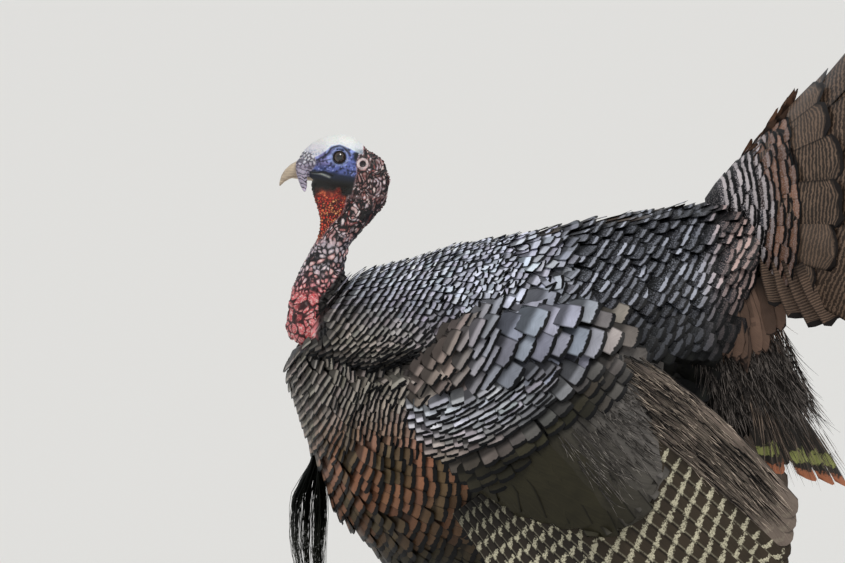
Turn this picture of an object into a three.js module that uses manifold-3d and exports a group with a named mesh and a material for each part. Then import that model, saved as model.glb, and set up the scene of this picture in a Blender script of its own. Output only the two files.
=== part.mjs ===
// Wild turkey gobbler in half display: a still, life-size body, divided into named solids.
// Millimetres, +Z up. The bird faces -X, its left side is at -Y, and its feet stand on z = 0.
// Outlines in the bird's middle plane are [x, z]; other points are [x, y, z].
import * as THREE from "three";
import { mergeVertices } from "three/addons/utils/BufferGeometryUtils.js";
import Module from "manifold-3d";

const wasm = await Module();
wasm.setup();

// ---------- driving dimensions ----------
const GAP = 0.3; // clearance between neighbouring solids
const FINENESS = 0.12; // how far a solid's faces may move when needless ones are dropped
const EYE = { x: -264.5, y: 11.5, z: 775, radius: 9.5 };
const HOCK = { x: 52, y: 66, z: 172 }; // ankle joint, at the top of the bare shank
const FOOT = { x: 14, y: 68, height: 17 }; // where the toes meet, and the height of that pad
const SOLE_CUT = 1.2; // how much of each toe pad is pressed flat
const WING = { elbow: [78, 548], wrist: [-62, 398], y: 171 }; // roots of the flight feathers
const TAIL = { root: [182, 704], lift: 50, spread: 84, droop: 52 };

const PALETTE = {
  plumage: [0x4a4038, 0.75],
  saddle: [0x3a3836, 0.75],
  barred: [0x6b6256, 0.8],
  tail: [0x6a4630, 0.7],
  vent: [0x241f1d, 0.9],
  neckSkin: [0xa86a62, 0.6],
  faceSkin: [0x6a7796, 0.55],
  throatSkin: [0xa02c24, 0.6],
  wattle: [0xb54a48, 0.55],
  snood: [0xb9b6c4, 0.6],
  bill: [0xb7a88a, 0.45],
  eye: [0x15110f, 0.1],
  leg: [0xa4766c, 0.6],
  claw: [0x4a3c34, 0.4],
  beard: [0x14120f, 0.85],
};

const radians = THREE.MathUtils.degToRad;

// ---------- shaping tools ----------
const at = (p) => (p.length === 2 ? new THREE.Vector3(p[0], 0, p[1]) : new THREE.Vector3(...p));
const smooth = (points) => new THREE.CatmullRomCurve3(points);

/** How full a rounded body is at t from 0 to 1 along it: nothing at the ends, whole between. */
const fullness = (t, dome) => Math.pow(1 - Math.pow(Math.abs(2 * t - 1), dome), 1 / dome);

/**
 * A rounded closed body between an upper and a lower outline, `half` thick each side of them.
 * `hips` above 0 puts its widest place above the middle and below 0 under it.
 */
function body({ upper, lower, half, hips = [0, 0], sides = 14, rings = 12, dome = 4 }) {
  const top = smooth(upper.map(at));
  const bottom = smooth(lower.map(at));
  const width = smooth(half.map((h, i) => {
    const share = (i / (half.length - 1)) * (hips.length - 1);
    const first = Math.min(Math.floor(share), hips.length - 2);
    const shift = THREE.MathUtils.lerp(hips[first], hips[first + 1], share - first);
    return new THREE.Vector3(h, shift, 0);
  }));
  const middle = (t) => top.getPoint(t).add(bottom.getPoint(t)).multiplyScalar(0.5);
  const geometry = new THREE.SphereGeometry(1, sides, rings);
  const position = geometry.getAttribute("position");
  const uv = geometry.getAttribute("uv");
  for (let i = 0; i < position.count; i++) {
    const t = (1 - Math.cos(Math.PI * uv.getY(i))) / 2;
    const around = 2 * Math.PI * uv.getX(i);
    const centre = middle(t);
    const up = top.getPoint(t).sub(centre);
    const step = 0.002;
    const forward = middle(Math.min(1, t + step)).sub(middle(Math.max(0, t - step)));
    const side = new THREE.Vector3().crossVectors(forward, up).normalize();
    const { x: halfWidth, y: shift } = width.getPoint(t);
    const full = fullness(t, dome);
    const breadth = halfWidth * full * Math.sin(around) * (1 + shift * Math.cos(around));
    centre.addScaledVector(up, full * Math.cos(around)).addScaledVector(side, breadth);
    position.setXYZ(i, centre.x, centre.y, centre.z);
  }
  return geometry;
}

/** An egg-shaped lump. */
function lump(x, y, z, rx, ry, rz) {
  return new THREE.SphereGeometry(1, 9, 6).scale(rx, ry, rz).translate(x, y, z);
}

/**
 * A thin sheet of `count` overlapping feathers. `place(share, far)` gives the point on it and its
 * upper face, with share running over the feathers and far from the roots, 0, to the tips, 1.
 */
function featherSheet({ count, place, lengths, thick = 3, step = 2.4, notch = 0.045 }) {
  const samples = [[0, -0.5, 1], [0.28, 0, 0.1], [0.8, 0.5, 0.1]]; // across one: share, height, notch
  const slices = samples.length * count;
  const geometry = new THREE.BoxGeometry(1, 1, 1, slices, 1, lengths);
  const position = geometry.getAttribute("position");
  for (let i = 0; i < position.count; i++) {
    const slice = Math.round((position.getX(i) + 0.5) * slices);
    const feather = Math.floor(slice / samples.length);
    const [across, height, notched] = samples[slice % samples.length];
    const far = position.getZ(i) + 0.5;
    const { point, face } = place((feather + across) / count, far * (1 - notch * notched * far));
    const rise = step * height * far ** 0.5 + thick * position.getY(i);
    point.addScaledVector(face, rise);
    position.setXYZ(i, point.x, point.y, point.z);
  }
  return geometry;
}

/** A merged copy with its faces outwards, swollen by `grow` along its normals. */
function closed(geometry, grow = 0) {
  const bare = new THREE.BufferGeometry();
  bare.setAttribute("position", geometry.getAttribute("position").clone());
  if (geometry.index) bare.setIndex(geometry.index.clone());
  const merged = mergeVertices(bare, 1e-3);
  const position = merged.getAttribute("position");
  const corner = (k) => new THREE.Vector3().fromBufferAttribute(position, merged.index.getX(k));
  let volume = 0;
  for (let i = 0; i < merged.index.count; i += 3) {
    volume += corner(i).dot(corner(i + 1).cross(corner(i + 2)));
  }
  if (volume < 0) merged.index.array.reverse();
  merged.computeVertexNormals();
  const normal = merged.getAttribute("normal");
  for (let i = 0; grow && i < position.count; i++) {
    position.setX(i, position.getX(i) + grow * normal.getX(i));
    position.setY(i, position.getY(i) + grow * normal.getY(i));
    position.setZ(i, position.getZ(i) + grow * normal.getZ(i));
  }
  return merged;
}

function solid(geometry, grow = 0) {
  const { attributes, index } = closed(geometry, grow);
  return new wasm.Manifold(new wasm.Mesh({
    numProp: 3,
    vertProperties: new Float32Array(attributes.position.array),
    triVerts: new Uint32Array(index.array),
  }));
}

/** Joins geometries into one solid. */
const joined = (geometries, grow = 0) =>
  geometries.map((g) => solid(g, grow)).reduce((all, one) => all.add(one));

/** Takes neighbours away from a solid, and keeps its largest piece. */
function fitted(made, ...neighbours) {
  const cut = neighbours.reduce((left, other) => left.subtract(other), made);
  const pieces = cut.decompose().sort((a, b) => b.volume() - a.volume());
  return pieces[0];
}

/** A named mesh of a solid or of a geometry. */
function part(name, shape, [color, roughness]) {
  const made = (shape.isBufferGeometry ? solid(shape) : shape).simplify(FINENESS);
  const { numProp, vertProperties, triVerts } = made.getMesh();
  const places = [];
  for (let i = 0; i < vertProperties.length; i += numProp) {
    places.push(vertProperties[i], vertProperties[i + 1], vertProperties[i + 2]);
  }
  const geometry = new THREE.BufferGeometry();
  geometry.setAttribute("position", new THREE.Float32BufferAttribute(places, 3));
  geometry.setIndex(new THREE.BufferAttribute(new Uint32Array(triVerts), 1));
  const flat = geometry.toNonIndexed();
  flat.computeVertexNormals();
  const material = new THREE.MeshStandardMaterial({ color, roughness, metalness: 0 });
  const mesh = new THREE.Mesh(flat, material);
  mesh.name = name;
  return mesh;
}

// ---------- trunk: rings that run from the back to the breast and belly ----------
const trunkShape = () => body({
  upper: [[-266, 636], [-234, 644], [-190, 651], [-132, 668], [-60, 681], [0, 693], [60, 705],
    [115, 714], [165, 722], [200, 732], [224, 742], [240, 748]],
  lower: [[-328, 548], [-337, 518], [-322, 476], [-303, 424], [-272, 350], [-206, 278], [-105, 243],
    [10, 243], [105, 288], [165, 385], [205, 500], [232, 610]],
  half: [46, 78, 108, 134, 150, 156, 154, 146, 128, 106, 84, 64],
  hips: [0, -0.1, -0.12, 0, 0.2, 0.28],
  sides: 20,
  rings: 17,
  dome: 5,
});

// ---------- neck, head and their fleshy parts ----------
const neckShape = () => body({
  upper: [[-234, 792], [-210, 771], [-202, 738], [-215, 706], [-246, 679], [-257, 652],
    [-257, 624], [-250, 596], [-240, 560]],
  lower: [[-262, 756], [-258, 738], [-261, 720], [-271, 702], [-288, 682], [-305, 655],
    [-318, 627], [-326, 600], [-321, 562]],
  half: [13, 17, 19, 19.5, 19.5, 20.5, 24, 30, 34],
  sides: 12,
  rings: 13,
  dome: 6,
});

const headShape = () => body({
  upper: [[-319, 766], [-311, 779], [-299, 791], [-283, 799.5], [-263, 803], [-246, 799],
    [-232, 786], [-222, 768]],
  lower: [[-315, 756], [-304, 746], [-291, 739], [-276, 733], [-262, 729], [-249, 727],
    [-240, 731], [-231, 742]],
  half: [6.5, 11, 15.5, 18.5, 19.5, 18.5, 16, 11],
  hips: [0.05, 0.1, 0.05, 0],
  sides: 14,
  rings: 11,
  dome: 5,
});

// The folds of bare skin that hang from chin to neck.
const throatShape = () => body({
  upper: [[-282, 742], [-254, 730], [-260, 708], [-276, 691], [-288, 674]],
  lower: [[-303, 742], [-297, 727], [-292, 711], [-288, 695], [-293, 676]],
  half: [10, 9, 7.5, 6, 5],
  sides: 10,
  rings: 8,
  dome: 5,
});

const billUpperShape = () => body({
  upper: [[-302, 772], [-315, 770], [-327, 762.5], [-334, 753], [-337, 743]],
  lower: [[-297, 753], [-309, 751.5], [-321, 749], [-330, 744.5], [-337, 737.5]],
  half: [9.5, 8.6, 6.6, 4.4, 2.2],
  sides: 12,
  rings: 9,
  dome: 7,
});

const billLowerShape = () => body({
  upper: [[-292, 752], [-304, 751.5], [-315, 749.5], [-326, 746]],
  lower: [[-291, 741], [-302, 741], [-314, 742], [-325, 743]],
  half: [9, 7.6, 5.4, 2.8],
  sides: 8,
  rings: 7,
  dome: 6,
});

// The finger of flesh on the forehead, hanging down the left of the bill.
const snoodShape = () => body({
  upper: [[-300, -2, 776], [-303, -9, 765], [-303, -12.5, 754], [-303, -13.5, 743], [-303.5, -13.5, 733]],
  lower: [[-317, -4, 771], [-317.5, -10, 763], [-315.5, -13, 752], [-312, -13.8, 742], [-308.5, -13.5, 732]],
  half: [6, 6.2, 5, 4, 2.6],
  sides: 9,
  rings: 9,
  dome: 6,
});

const WATTLES = [
  [-309, 11, 572, 22, 17, 26],
  [-310, 11, 600, 16, 15, 14],
];
const wattleShapes = () => WATTLES.flatMap(([x, y, z, ...radii]) =>
  [-y, y].map((side) => lump(x, side, z, ...radii)));

const eyeShape = (side) =>
  new THREE.SphereGeometry(EYE.radius, 10, 7).translate(EYE.x, side * EYE.y, EYE.z);

// ---------- breast beard ----------
const beardShape = () => body({
  upper: [[-289, 433], [-285, 400], [-282, 362], [-281, 322], [-285, 278], [-292, 234]],
  lower: [[-303, 438], [-315, 400], [-323, 362], [-325, 324], [-321, 282], [-312, 236]],
  half: [6, 9, 10, 10, 9, 6],
  sides: 9,
  rings: 9,
  dome: 5,
});

// ---------- wings, drawn for the left side ----------
const wingShape = () => body({
  upper: [[-178, -104, 556], [-122, -136, 596], [-48, -150, 612], [26, -152, 604],
    [82, -150, 566], [130, -142, 500]],
  lower: [[-164, -122, 448], [-116, -152, 398], [-52, -168, 358], [20, -172, 334],
    [80, -168, 334], [132, -156, 372]],
  half: [12, 22, 28, 28, 24, 15],
  sides: 16,
  rings: 11,
  dome: 3.4,
});

/** Flight feathers side by side, from an inner root and tip to an outer root and tip. */
function flightFeathers({ count, inner, outer, depth, round, bow }) {
  const outwards = new THREE.Vector3(0, -1, 0);
  const place = (share, far) => {
    const root = at(inner.root).lerp(at(outer.root), share);
    const tip = at(inner.tip).lerp(at(outer.tip), share);
    const point = root.lerp(tip, far);
    point.y += depth * share - round * Math.sin(Math.PI * far);
    point.z += bow * Math.sin(Math.PI * far) * (1 - share);
    return { point, face: outwards.clone() };
  };
  return featherSheet({ count, place, lengths: 2 });
}
const SECONDARIES = {
  count: 9,
  inner: { root: [WING.elbow[0], -WING.y, WING.elbow[1]], tip: [278, -152, 366] },
  outer: { root: [WING.wrist[0], -WING.y, WING.wrist[1]], tip: [246, -158, 166] },
  depth: 9,
  round: 8,
  bow: 16,
};
const PRIMARIES = {
  count: 8,
  inner: { root: [WING.wrist[0], -WING.y + 10, WING.wrist[1] + 12], tip: [232, -149, 172] },
  outer: { root: [WING.wrist[0] - 66, -WING.y + 10, WING.wrist[1] - 38], tip: [104, -158, 52] },
  depth: 7,
  round: 6,
  bow: 0,
};

// ---------- tail: a half-open fan whose outer feathers droop like a roof ----------
/** The direction, spread and upper face of the fan at `angle` degrees from its middle feather. */
function fanFrame(angle, { lift, spread, droop }) {
  const middle = new THREE.Vector3(Math.cos(radians(lift)), 0, Math.sin(radians(lift)));
  const face = new THREE.Vector3(-Math.sin(radians(lift)), 0, Math.cos(radians(lift)));
  const sideways = new THREE.Vector3(0, 1, 0);
  const ray = (degrees) => {
    const fall = radians(droop) * Math.min(1, Math.abs(degrees) / spread);
    return middle.clone().multiplyScalar(Math.cos(radians(degrees)))
      .addScaledVector(sideways, Math.sin(radians(degrees)) * Math.cos(fall))
      .addScaledVector(face, -Math.abs(Math.sin(radians(degrees))) * Math.sin(fall))
      .normalize();
  };
  const along = ray(angle);
  const across = ray(angle + 1).sub(ray(angle - 1)).normalize();
  return { along, face: new THREE.Vector3().crossVectors(along, across).normalize() };
}

/** A fan of feathers, longest in the middle. */
function fan({ count, length, outerLength, rise, inset, thick, ...frame }) {
  const place = (share, far) => {
    const off = 2 * share - 1;
    const { along, face } = fanFrame(off * frame.spread, frame);
    const reach = THREE.MathUtils.lerp(length, outerLength, off ** 2);
    const point = at(frame.root).addScaledVector(along, inset + reach * far);
    return { point: point.addScaledVector(face, rise), face };
  };
  return featherSheet({ count, place, thick, lengths: 1 });
}
const RECTRICES = { ...TAIL, count: 18, length: 385, outerLength: 350, rise: 0, inset: 8 };
const TAIL_COVERTS = {
  ...TAIL, count: 11, length: 212, outerLength: 190, rise: 9, inset: 6, spread: 88, droop: 56,
};
const VENT_COVERTS = {
  root: [184, 566], lift: -50, spread: 36, droop: 28, count: 7, length: 236, outerLength: 226,
  rise: 0, inset: 4, thick: 6,
};

// ---------- legs, drawn for the left side ----------
const thighShape = () => body({
  upper: [[-18, -70, 330], [0, -70, 286], [22, -68, 240], [42, -66, 200], [50, -66, 176]],
  lower: [[84, -70, 330], [84, -70, 292], [80, -68, 248], [72, -66, 206], [64, -66, 178]],
  half: [38, 36, 27, 16, 9],
  sides: 12,
  rings: 9,
  dome: 7,
});

const shankShape = () => body({
  upper: [[HOCK.x - 11, -HOCK.y, HOCK.z + 2], [HOCK.x - 12, -HOCK.y, 150], [HOCK.x - 20, -67, 100],
    [HOCK.x - 31, -68, 50], [FOOT.x - 9, -FOOT.y, 16]],
  lower: [[HOCK.x + 12, -HOCK.y, HOCK.z + 2], [HOCK.x + 6, -HOCK.y, 150], [HOCK.x - 4, -67, 100],
    [HOCK.x - 15, -68, 50], [FOOT.x + 9, -FOOT.y, 16]],
  half: [8.5, 6.8, 5.6, 5.8, 8],
  sides: 9,
  rings: 8,
  dome: 8,
});

// Each toe: its heading from straight ahead towards the bird's left, its reach and half its width.
const TOES = {
  inner: { heading: -34, reach: 62, breadth: 7.5 },
  middle: { heading: 2, reach: 84, breadth: 8 },
  outer: { heading: 38, reach: 66, breadth: 7 },
  back: { heading: 188, reach: 26, breadth: 5.5 },
};
const toeFrame = (heading) => new THREE.Vector3(
  -Math.cos(radians(heading)), -Math.sin(radians(heading)), 0);

/** A toe, sunk a little below the ground, where its sole is then cut flat. */
function toeShape({ heading, reach, breadth }) {
  const ahead = toeFrame(heading);
  const start = new THREE.Vector3(FOOT.x, -FOOT.y, 0);
  const along = (share, z) => start.clone().addScaledVector(ahead, reach * share).setZ(z).toArray();
  return body({
    upper: [along(-0.06, FOOT.height), along(0.3, 14), along(0.65, 12), along(1, 10)],
    lower: [along(-0.06, -SOLE_CUT), along(0.3, -SOLE_CUT), along(0.65, -SOLE_CUT), along(1, -SOLE_CUT)],
    half: [breadth, breadth * 0.85, breadth * 0.85, breadth * 0.62],
    sides: 7,
    rings: 4,
    dome: 8,
  });
}

/** A curved claw at a toe's end, its point just above the ground. */
function clawShape({ heading, reach }) {
  const ahead = toeFrame(heading);
  const start = new THREE.Vector3(FOOT.x, -FOOT.y, 0);
  const along = (far, z) => start.clone().addScaledVector(ahead, far).setZ(z).toArray();
  return body({
    upper: [along(reach - 5, 10), along(reach + 5, 9), along(reach + 13, 4.4), along(reach + 17, 1.2)],
    lower: [along(reach - 4, 3), along(reach + 4, 2.6), along(reach + 11, 1), along(reach + 16, 0.5)],
    half: [3.2, 2.8, 1.9, 0.9],
    sides: 5,
    rings: 5,
    dome: 6,
  });
}

// The spur on the inner rear of the shank.
const spurShape = () => body({
  upper: [[34, -64, 73], [46, -60, 76], [57, -57, 84]],
  lower: [[32, -64, 61], [44, -60, 66], [56.5, -57, 81]],
  half: [6, 4, 1.2],
  sides: 7,
  rings: 5,
  dome: 4,
});

// ---------- fitting the solids together ----------
const hollows = joined([-1, 1].map((side) => lump(172, side * 142, 512, 92, 62, 46)));
const trunk = solid(trunkShape()).subtract(hollows);
const trunkRoom = solid(trunkShape(), GAP);
const headRoom = solid(headShape(), GAP);
const eyeRoom = joined([eyeShape(-1), eyeShape(1)], GAP);
const billRoom = solid(billUpperShape(), GAP);
const billLowerRoom = solid(billLowerShape(), GAP);
const snoodRoom = solid(snoodShape(), GAP);
const neckRoom = solid(neckShape(), GAP);
const tailCovertsRoom = solid(fan(TAIL_COVERTS), GAP);
const floor = solid(new THREE.BoxGeometry(600, 600, 40).translate(0, 0, -20));

const turkey = new THREE.Group();
turkey.add(
  part("trunk", trunk, PALETTE.plumage),
  part("neck", fitted(solid(neckShape()), trunkRoom, headRoom), PALETTE.neckSkin),
  part("head", fitted(solid(headShape()), eyeRoom, billRoom, billLowerRoom, snoodRoom),
    PALETTE.faceSkin),
  part("throat", fitted(solid(throatShape()), headRoom, neckRoom, billLowerRoom), PALETTE.throatSkin),
  part("wattles", fitted(joined(wattleShapes()), trunkRoom, neckRoom), PALETTE.wattle),
  part("snood", snoodShape(), PALETTE.snood),
  part("bill_upper", fitted(solid(billUpperShape()), snoodRoom), PALETTE.bill),
  part("bill_lower", fitted(solid(billLowerShape()), billRoom, snoodRoom), PALETTE.bill),
  part("beard", fitted(solid(beardShape()), trunkRoom), PALETTE.beard),
  part("tail_coverts", fitted(solid(fan(TAIL_COVERTS)), trunkRoom), PALETTE.saddle),
  part("tail_fan", fitted(solid(fan(RECTRICES)), trunkRoom, tailCovertsRoom), PALETTE.tail),
  part("vent_coverts", fitted(solid(fan(VENT_COVERTS)), trunkRoom, solid(fan(RECTRICES), GAP)),
    PALETTE.vent),
);

// The sides are mirror images, each fitted to the trunk on its own side.
for (const side of ["left", "right"]) {
  const sided = (made) => (side === "left" ? made : made.mirror([0, 1, 0]));
  const made = (geometries, grow = 0) => sided(joined([geometries].flat(), grow));
  const wingRoom = made(wingShape(), GAP);
  const secondariesRoom = made(flightFeathers(SECONDARIES), GAP);
  const shankRoom = made(shankShape(), GAP);
  const clawRooms = Object.values(TOES).map((toe) => made(clawShape(toe), GAP));
  turkey.add(
    part(`eye_${side}`, made(eyeShape(-1)), PALETTE.eye),
    part(`wing_${side}`, fitted(made(wingShape()), trunkRoom), PALETTE.plumage),
    part(`secondaries_${side}`, fitted(made(flightFeathers(SECONDARIES)), wingRoom, trunkRoom),
      PALETTE.barred),
    part(`primaries_${side}`,
      fitted(made(flightFeathers(PRIMARIES)), wingRoom, trunkRoom, secondariesRoom), PALETTE.barred),
    part(`thigh_${side}`, fitted(made(thighShape()), trunkRoom, shankRoom), PALETTE.plumage),
    part(`shank_${side}`, fitted(made(shankShape()), made(spurShape(), GAP)), PALETTE.leg),
    part(`spur_${side}`, made(spurShape()), PALETTE.claw),
    part(`foot_${side}`,
      fitted(made(Object.values(TOES).map(toeShape)), floor, shankRoom, ...clawRooms), PALETTE.leg),
  );
  for (const [toe, shape] of Object.entries(TOES)) {
    turkey.add(part(`claw_${toe}_${side}`, made(clawShape(shape)), PALETTE.claw));
  }
}

// The part's origin is on the ground under the middle of the whole bird.
turkey.updateMatrixWorld(true);
const middle = new THREE.Box3().setFromObject(turkey).getCenter(new THREE.Vector3());
turkey.position.set(-middle.x, -middle.y, 0);

export default turkey;
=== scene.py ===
import bpy
import numpy as np
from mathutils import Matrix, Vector
from mathutils.bvhtree import BVHTree
from mathutils.kdtree import KDTree


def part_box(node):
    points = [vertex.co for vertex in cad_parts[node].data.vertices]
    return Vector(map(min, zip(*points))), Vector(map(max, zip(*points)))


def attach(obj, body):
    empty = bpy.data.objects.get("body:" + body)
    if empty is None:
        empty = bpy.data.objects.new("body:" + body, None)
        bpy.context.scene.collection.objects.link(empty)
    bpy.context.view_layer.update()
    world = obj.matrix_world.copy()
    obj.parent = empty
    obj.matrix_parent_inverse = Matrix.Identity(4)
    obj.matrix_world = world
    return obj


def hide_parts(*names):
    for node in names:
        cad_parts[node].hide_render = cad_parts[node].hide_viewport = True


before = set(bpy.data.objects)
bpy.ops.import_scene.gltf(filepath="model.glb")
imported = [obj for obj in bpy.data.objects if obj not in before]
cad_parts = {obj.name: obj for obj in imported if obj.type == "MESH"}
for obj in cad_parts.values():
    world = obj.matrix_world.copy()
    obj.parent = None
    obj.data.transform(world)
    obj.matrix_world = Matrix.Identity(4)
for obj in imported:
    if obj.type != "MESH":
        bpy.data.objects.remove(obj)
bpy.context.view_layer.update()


# ---------------------------------------------------------------- camera
# A long lens level with the bird's back, square to its left side. The tail's end and the legs
# run out of the frame.
VIEW_CENTRE = Vector((-0.2236, 0.0, 0.6246))
VIEW_WIDTH = 1.014
VIEW_DISTANCE = 11.0
VIEW_TILT = np.radians(4.0)

camera_data = bpy.data.cameras.new("camera")
camera_data.sensor_width = 36.0
camera_data.lens = 36.0 * VIEW_DISTANCE / VIEW_WIDTH
camera_data.clip_end = 200.0
camera = bpy.data.objects.new("camera", camera_data)
bpy.context.scene.collection.objects.link(camera)
view_offset = Vector((0.0, -np.cos(VIEW_TILT), np.sin(VIEW_TILT))) * VIEW_DISTANCE
camera.location = VIEW_CENTRE + view_offset
camera.rotation_euler = (-view_offset).to_track_quat("-Z", "Y").to_euler()
bpy.context.scene.camera = camera


# ---------------------------------------------------------------- floor and light
# A plain pale floor that runs on to the edge of sight, an even sky, and a wide soft lamp high
# on the bird's left, as on a bright day with thin cloud.
def new_material(name):
    """A node material and its shader, with tools to add a node and to set or link its inputs."""
    material = bpy.data.materials.new(name)
    material.use_nodes = True
    tree = material.node_tree

    def feed(node, inputs):
        for socket, value in inputs.items():
            if isinstance(value, bpy.types.NodeSocket):
                tree.links.new(value, node.inputs[socket])
            else:
                node.inputs[socket].default_value = value
        return node

    def add(kind, inputs=None, **settings):
        node = tree.nodes.new("ShaderNode" + kind)
        for title, setting in settings.items():
            setattr(node, title, setting)
        return feed(node, inputs or {})

    return material, tree.nodes["Principled BSDF"], add, feed


floor_material, shader, add, feed = new_material("floor_paint")
floor_grain = add("TexNoise", {"Scale": 6.0})
floor_bump = add("Bump", {"Strength": 0.02, "Height": floor_grain.outputs["Fac"]})
feed(shader, {"Base Color": (0.80, 0.79, 0.77, 1), "Roughness": 0.9, "Normal": floor_bump.outputs["Normal"]})

bpy.ops.object.select_all(action="DESELECT")
FLOOR_RADIUS = 90.0
FLOOR_DROP = 0.0005
bpy.ops.mesh.primitive_circle_add(vertices=96, radius=FLOOR_RADIUS, fill_type="NGON",
                                  location=(0, 0, -FLOOR_DROP))
floor = bpy.context.object
floor.name = "floor"
bpy.ops.object.transform_apply(location=True, rotation=True, scale=True)
floor.data.materials.append(floor_material)

world = bpy.data.worlds.new("sky")
world.use_nodes = True
bpy.context.scene.world = world
world.node_tree.nodes["Background"].inputs["Color"].default_value = (0.94, 0.97, 1.0, 1)
world.node_tree.nodes["Background"].inputs["Strength"].default_value = 0.55

lamp_data = bpy.data.lights.new("sun_through_cloud", "SUN")
lamp_data.energy = 1.6
lamp_data.angle = np.radians(22.0)
lamp_data.color = (1.0, 0.97, 0.92)
lamp = bpy.data.objects.new("sun_through_cloud", lamp_data)
lamp.rotation_euler = Vector((0.35, -0.55, 1.0)).to_track_quat("Z", "Y").to_euler()
bpy.context.scene.collection.objects.link(lamp)
bpy.context.scene.view_settings.view_transform = "Standard"


# ---------------------------------------------------------------- skin
# One skin over head, neck, wattles, trunk, arms of the wings, thighs, shanks and toes. It is made
# by melting copies of the flesh solids together, finely where it is bare and coarsely where
# feathers hide it, and it lies a coat's depth inside them under the feathers.
SIDES = {"left": -1, "right": 1}
HEAD_NODES = ["head", "neck", "throat", "wattles", "snood"]
LEG_NODES = [f"{piece}_{side}" for side in SIDES for piece in ("shank", "foot")]
COAT_NODES = ["trunk"] + [f"{piece}_{side}" for side in SIDES for piece in ("wing", "thigh")]
COAT_DEPTH = 0.009
HEAD_GRAIN = 0.00095
LEG_GRAIN = 0.0016
COAT_GRAIN = 0.005


def centre_of(node):
    low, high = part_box(node)
    return (low + high) / 2


EYE = {side: centre_of(f"eye_{side}") for side in SIDES}
eye_x, eye_z = EYE["left"].x, EYE["left"].z
neck_low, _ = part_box("neck")
trunk_low, trunk_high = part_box("trunk")


def alone(piece):
    """Selects one object and nothing else."""
    bpy.ops.object.select_all(action="DESELECT")
    piece.select_set(True)
    bpy.context.view_layer.objects.active = piece


def melted(name, nodes, grain, rounds, extras=()):
    """Copies of solids, and extra pieces, melted into one smooth closed mesh."""
    bpy.ops.object.select_all(action="DESELECT")
    copies = list(extras)
    for node in nodes:
        copy = bpy.data.objects.new(node + "_copy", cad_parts[node].data.copy())
        bpy.context.scene.collection.objects.link(copy)
        copies.append(copy)
    for copy in copies:
        copy.select_set(True)
    bpy.context.view_layer.objects.active = copies[0]
    if len(copies) > 1:
        bpy.ops.object.join()
    melt = bpy.context.object
    melt.name = name
    melt.data.materials.clear()
    remesh = melt.modifiers.new("melt", "REMESH")
    remesh.mode = "VOXEL"
    remesh.voxel_size = grain
    bpy.ops.object.modifier_apply(modifier="melt")
    smooth = melt.modifiers.new("smooth", "SMOOTH")
    smooth.factor = 0.5
    smooth.iterations = rounds
    bpy.ops.object.modifier_apply(modifier="smooth")
    return melt


def places(piece):
    co = np.empty(len(piece.data.vertices) * 3, np.float32)
    piece.data.vertices.foreach_get("co", co)
    return co.reshape(-1, 3).astype(float)


def normals(piece):
    no = np.empty(len(piece.data.vertices) * 3, np.float32)
    piece.data.vertex_normals.foreach_get("vector", no)
    return no.reshape(-1, 3).astype(float)


def put_places(piece, co):
    piece.data.vertices.foreach_set("co", co.astype(np.float32).ravel())
    piece.data.update()


def ease(low, high, value):
    """0 below low, 1 above high and smooth between them. low may be the larger."""
    share = np.clip((value - low) / (high - low), 0, 1)
    return share * share * (3 - 2 * share)


def to_line(points, px, pz):
    """Distance from (px, pz) to a broken line, in the bird's middle plane."""
    nearest = np.full(px.shape, np.inf)
    for (ax, az), (bx, bz) in zip(points[:-1], points[1:]):
        dx, dz = bx - ax, bz - az
        share = np.clip(((px - ax) * dx + (pz - az) * dz) / (dx * dx + dz * dz), 0, 1)
        nearest = np.minimum(nearest, np.hypot(px - ax - share * dx, pz - az - share * dz))
    return nearest


def ripple(points, size, seed):
    """A smooth field of chance values, about -1 to 1, whose waves are about size long."""
    chance = np.random.default_rng(seed)
    waves = chance.normal(size=(9, 3))
    waves *= 2 * np.pi / size / np.linalg.norm(waves, axis=1, keepdims=True)
    waves *= chance.uniform(0.6, 1.6, (9, 1))
    return np.sin(points @ waves.T + chance.uniform(0, 7, 9)).sum(1) / 3.2


def pebbles(points, size, seed, stretch=1.0, axis=(-0.45, 0.0, -0.89), warp=0.0):
    """Cells of about size over a surface: 0 at their edges to 1 inside, and a chance value each."""
    axis = np.array(axis) / np.linalg.norm(axis)
    scaled = points / size
    scaled = scaled + axis * (scaled @ axis)[:, None] * (1 / stretch - 1)
    if warp:
        scaled = scaled + warp * np.stack([ripple(points, size * 3.5, seed + k) for k in range(3)], axis=1)
    chance = np.random.default_rng(seed)
    order = chance.permutation(len(scaled))
    cubes = np.floor(scaled[order]).astype(np.int64) @ np.array([1, 4001, 4001 * 4001])
    sites = scaled[order][np.unique(cubes, return_index=True)[1]]
    tree = KDTree(len(sites))
    for index, site in enumerate(sites):
        tree.insert(site, index)
    tree.balance()
    found = [tree.find_n(point, 2) for point in scaled]
    near = np.array([one[0][2] for one in found])
    far = np.array([one[-1][2] for one in found])
    own = chance.uniform(0, 1, len(sites))[[one[0][1] for one in found]]
    return ease(0.0, 0.75, far - near), own


def round_piece(name, place, size, turn=(0, 0, 0)):
    """A ball drawn out to size, melted into the skin to join or swell it."""
    bpy.ops.object.select_all(action="DESELECT")
    bpy.ops.mesh.primitive_uv_sphere_add(segments=32, ring_count=20, radius=1, location=place,
                                         rotation=turn, scale=size)
    bpy.ops.object.transform_apply(location=True, rotation=True, scale=True)
    bpy.context.object.name = name
    return bpy.context.object


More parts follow.
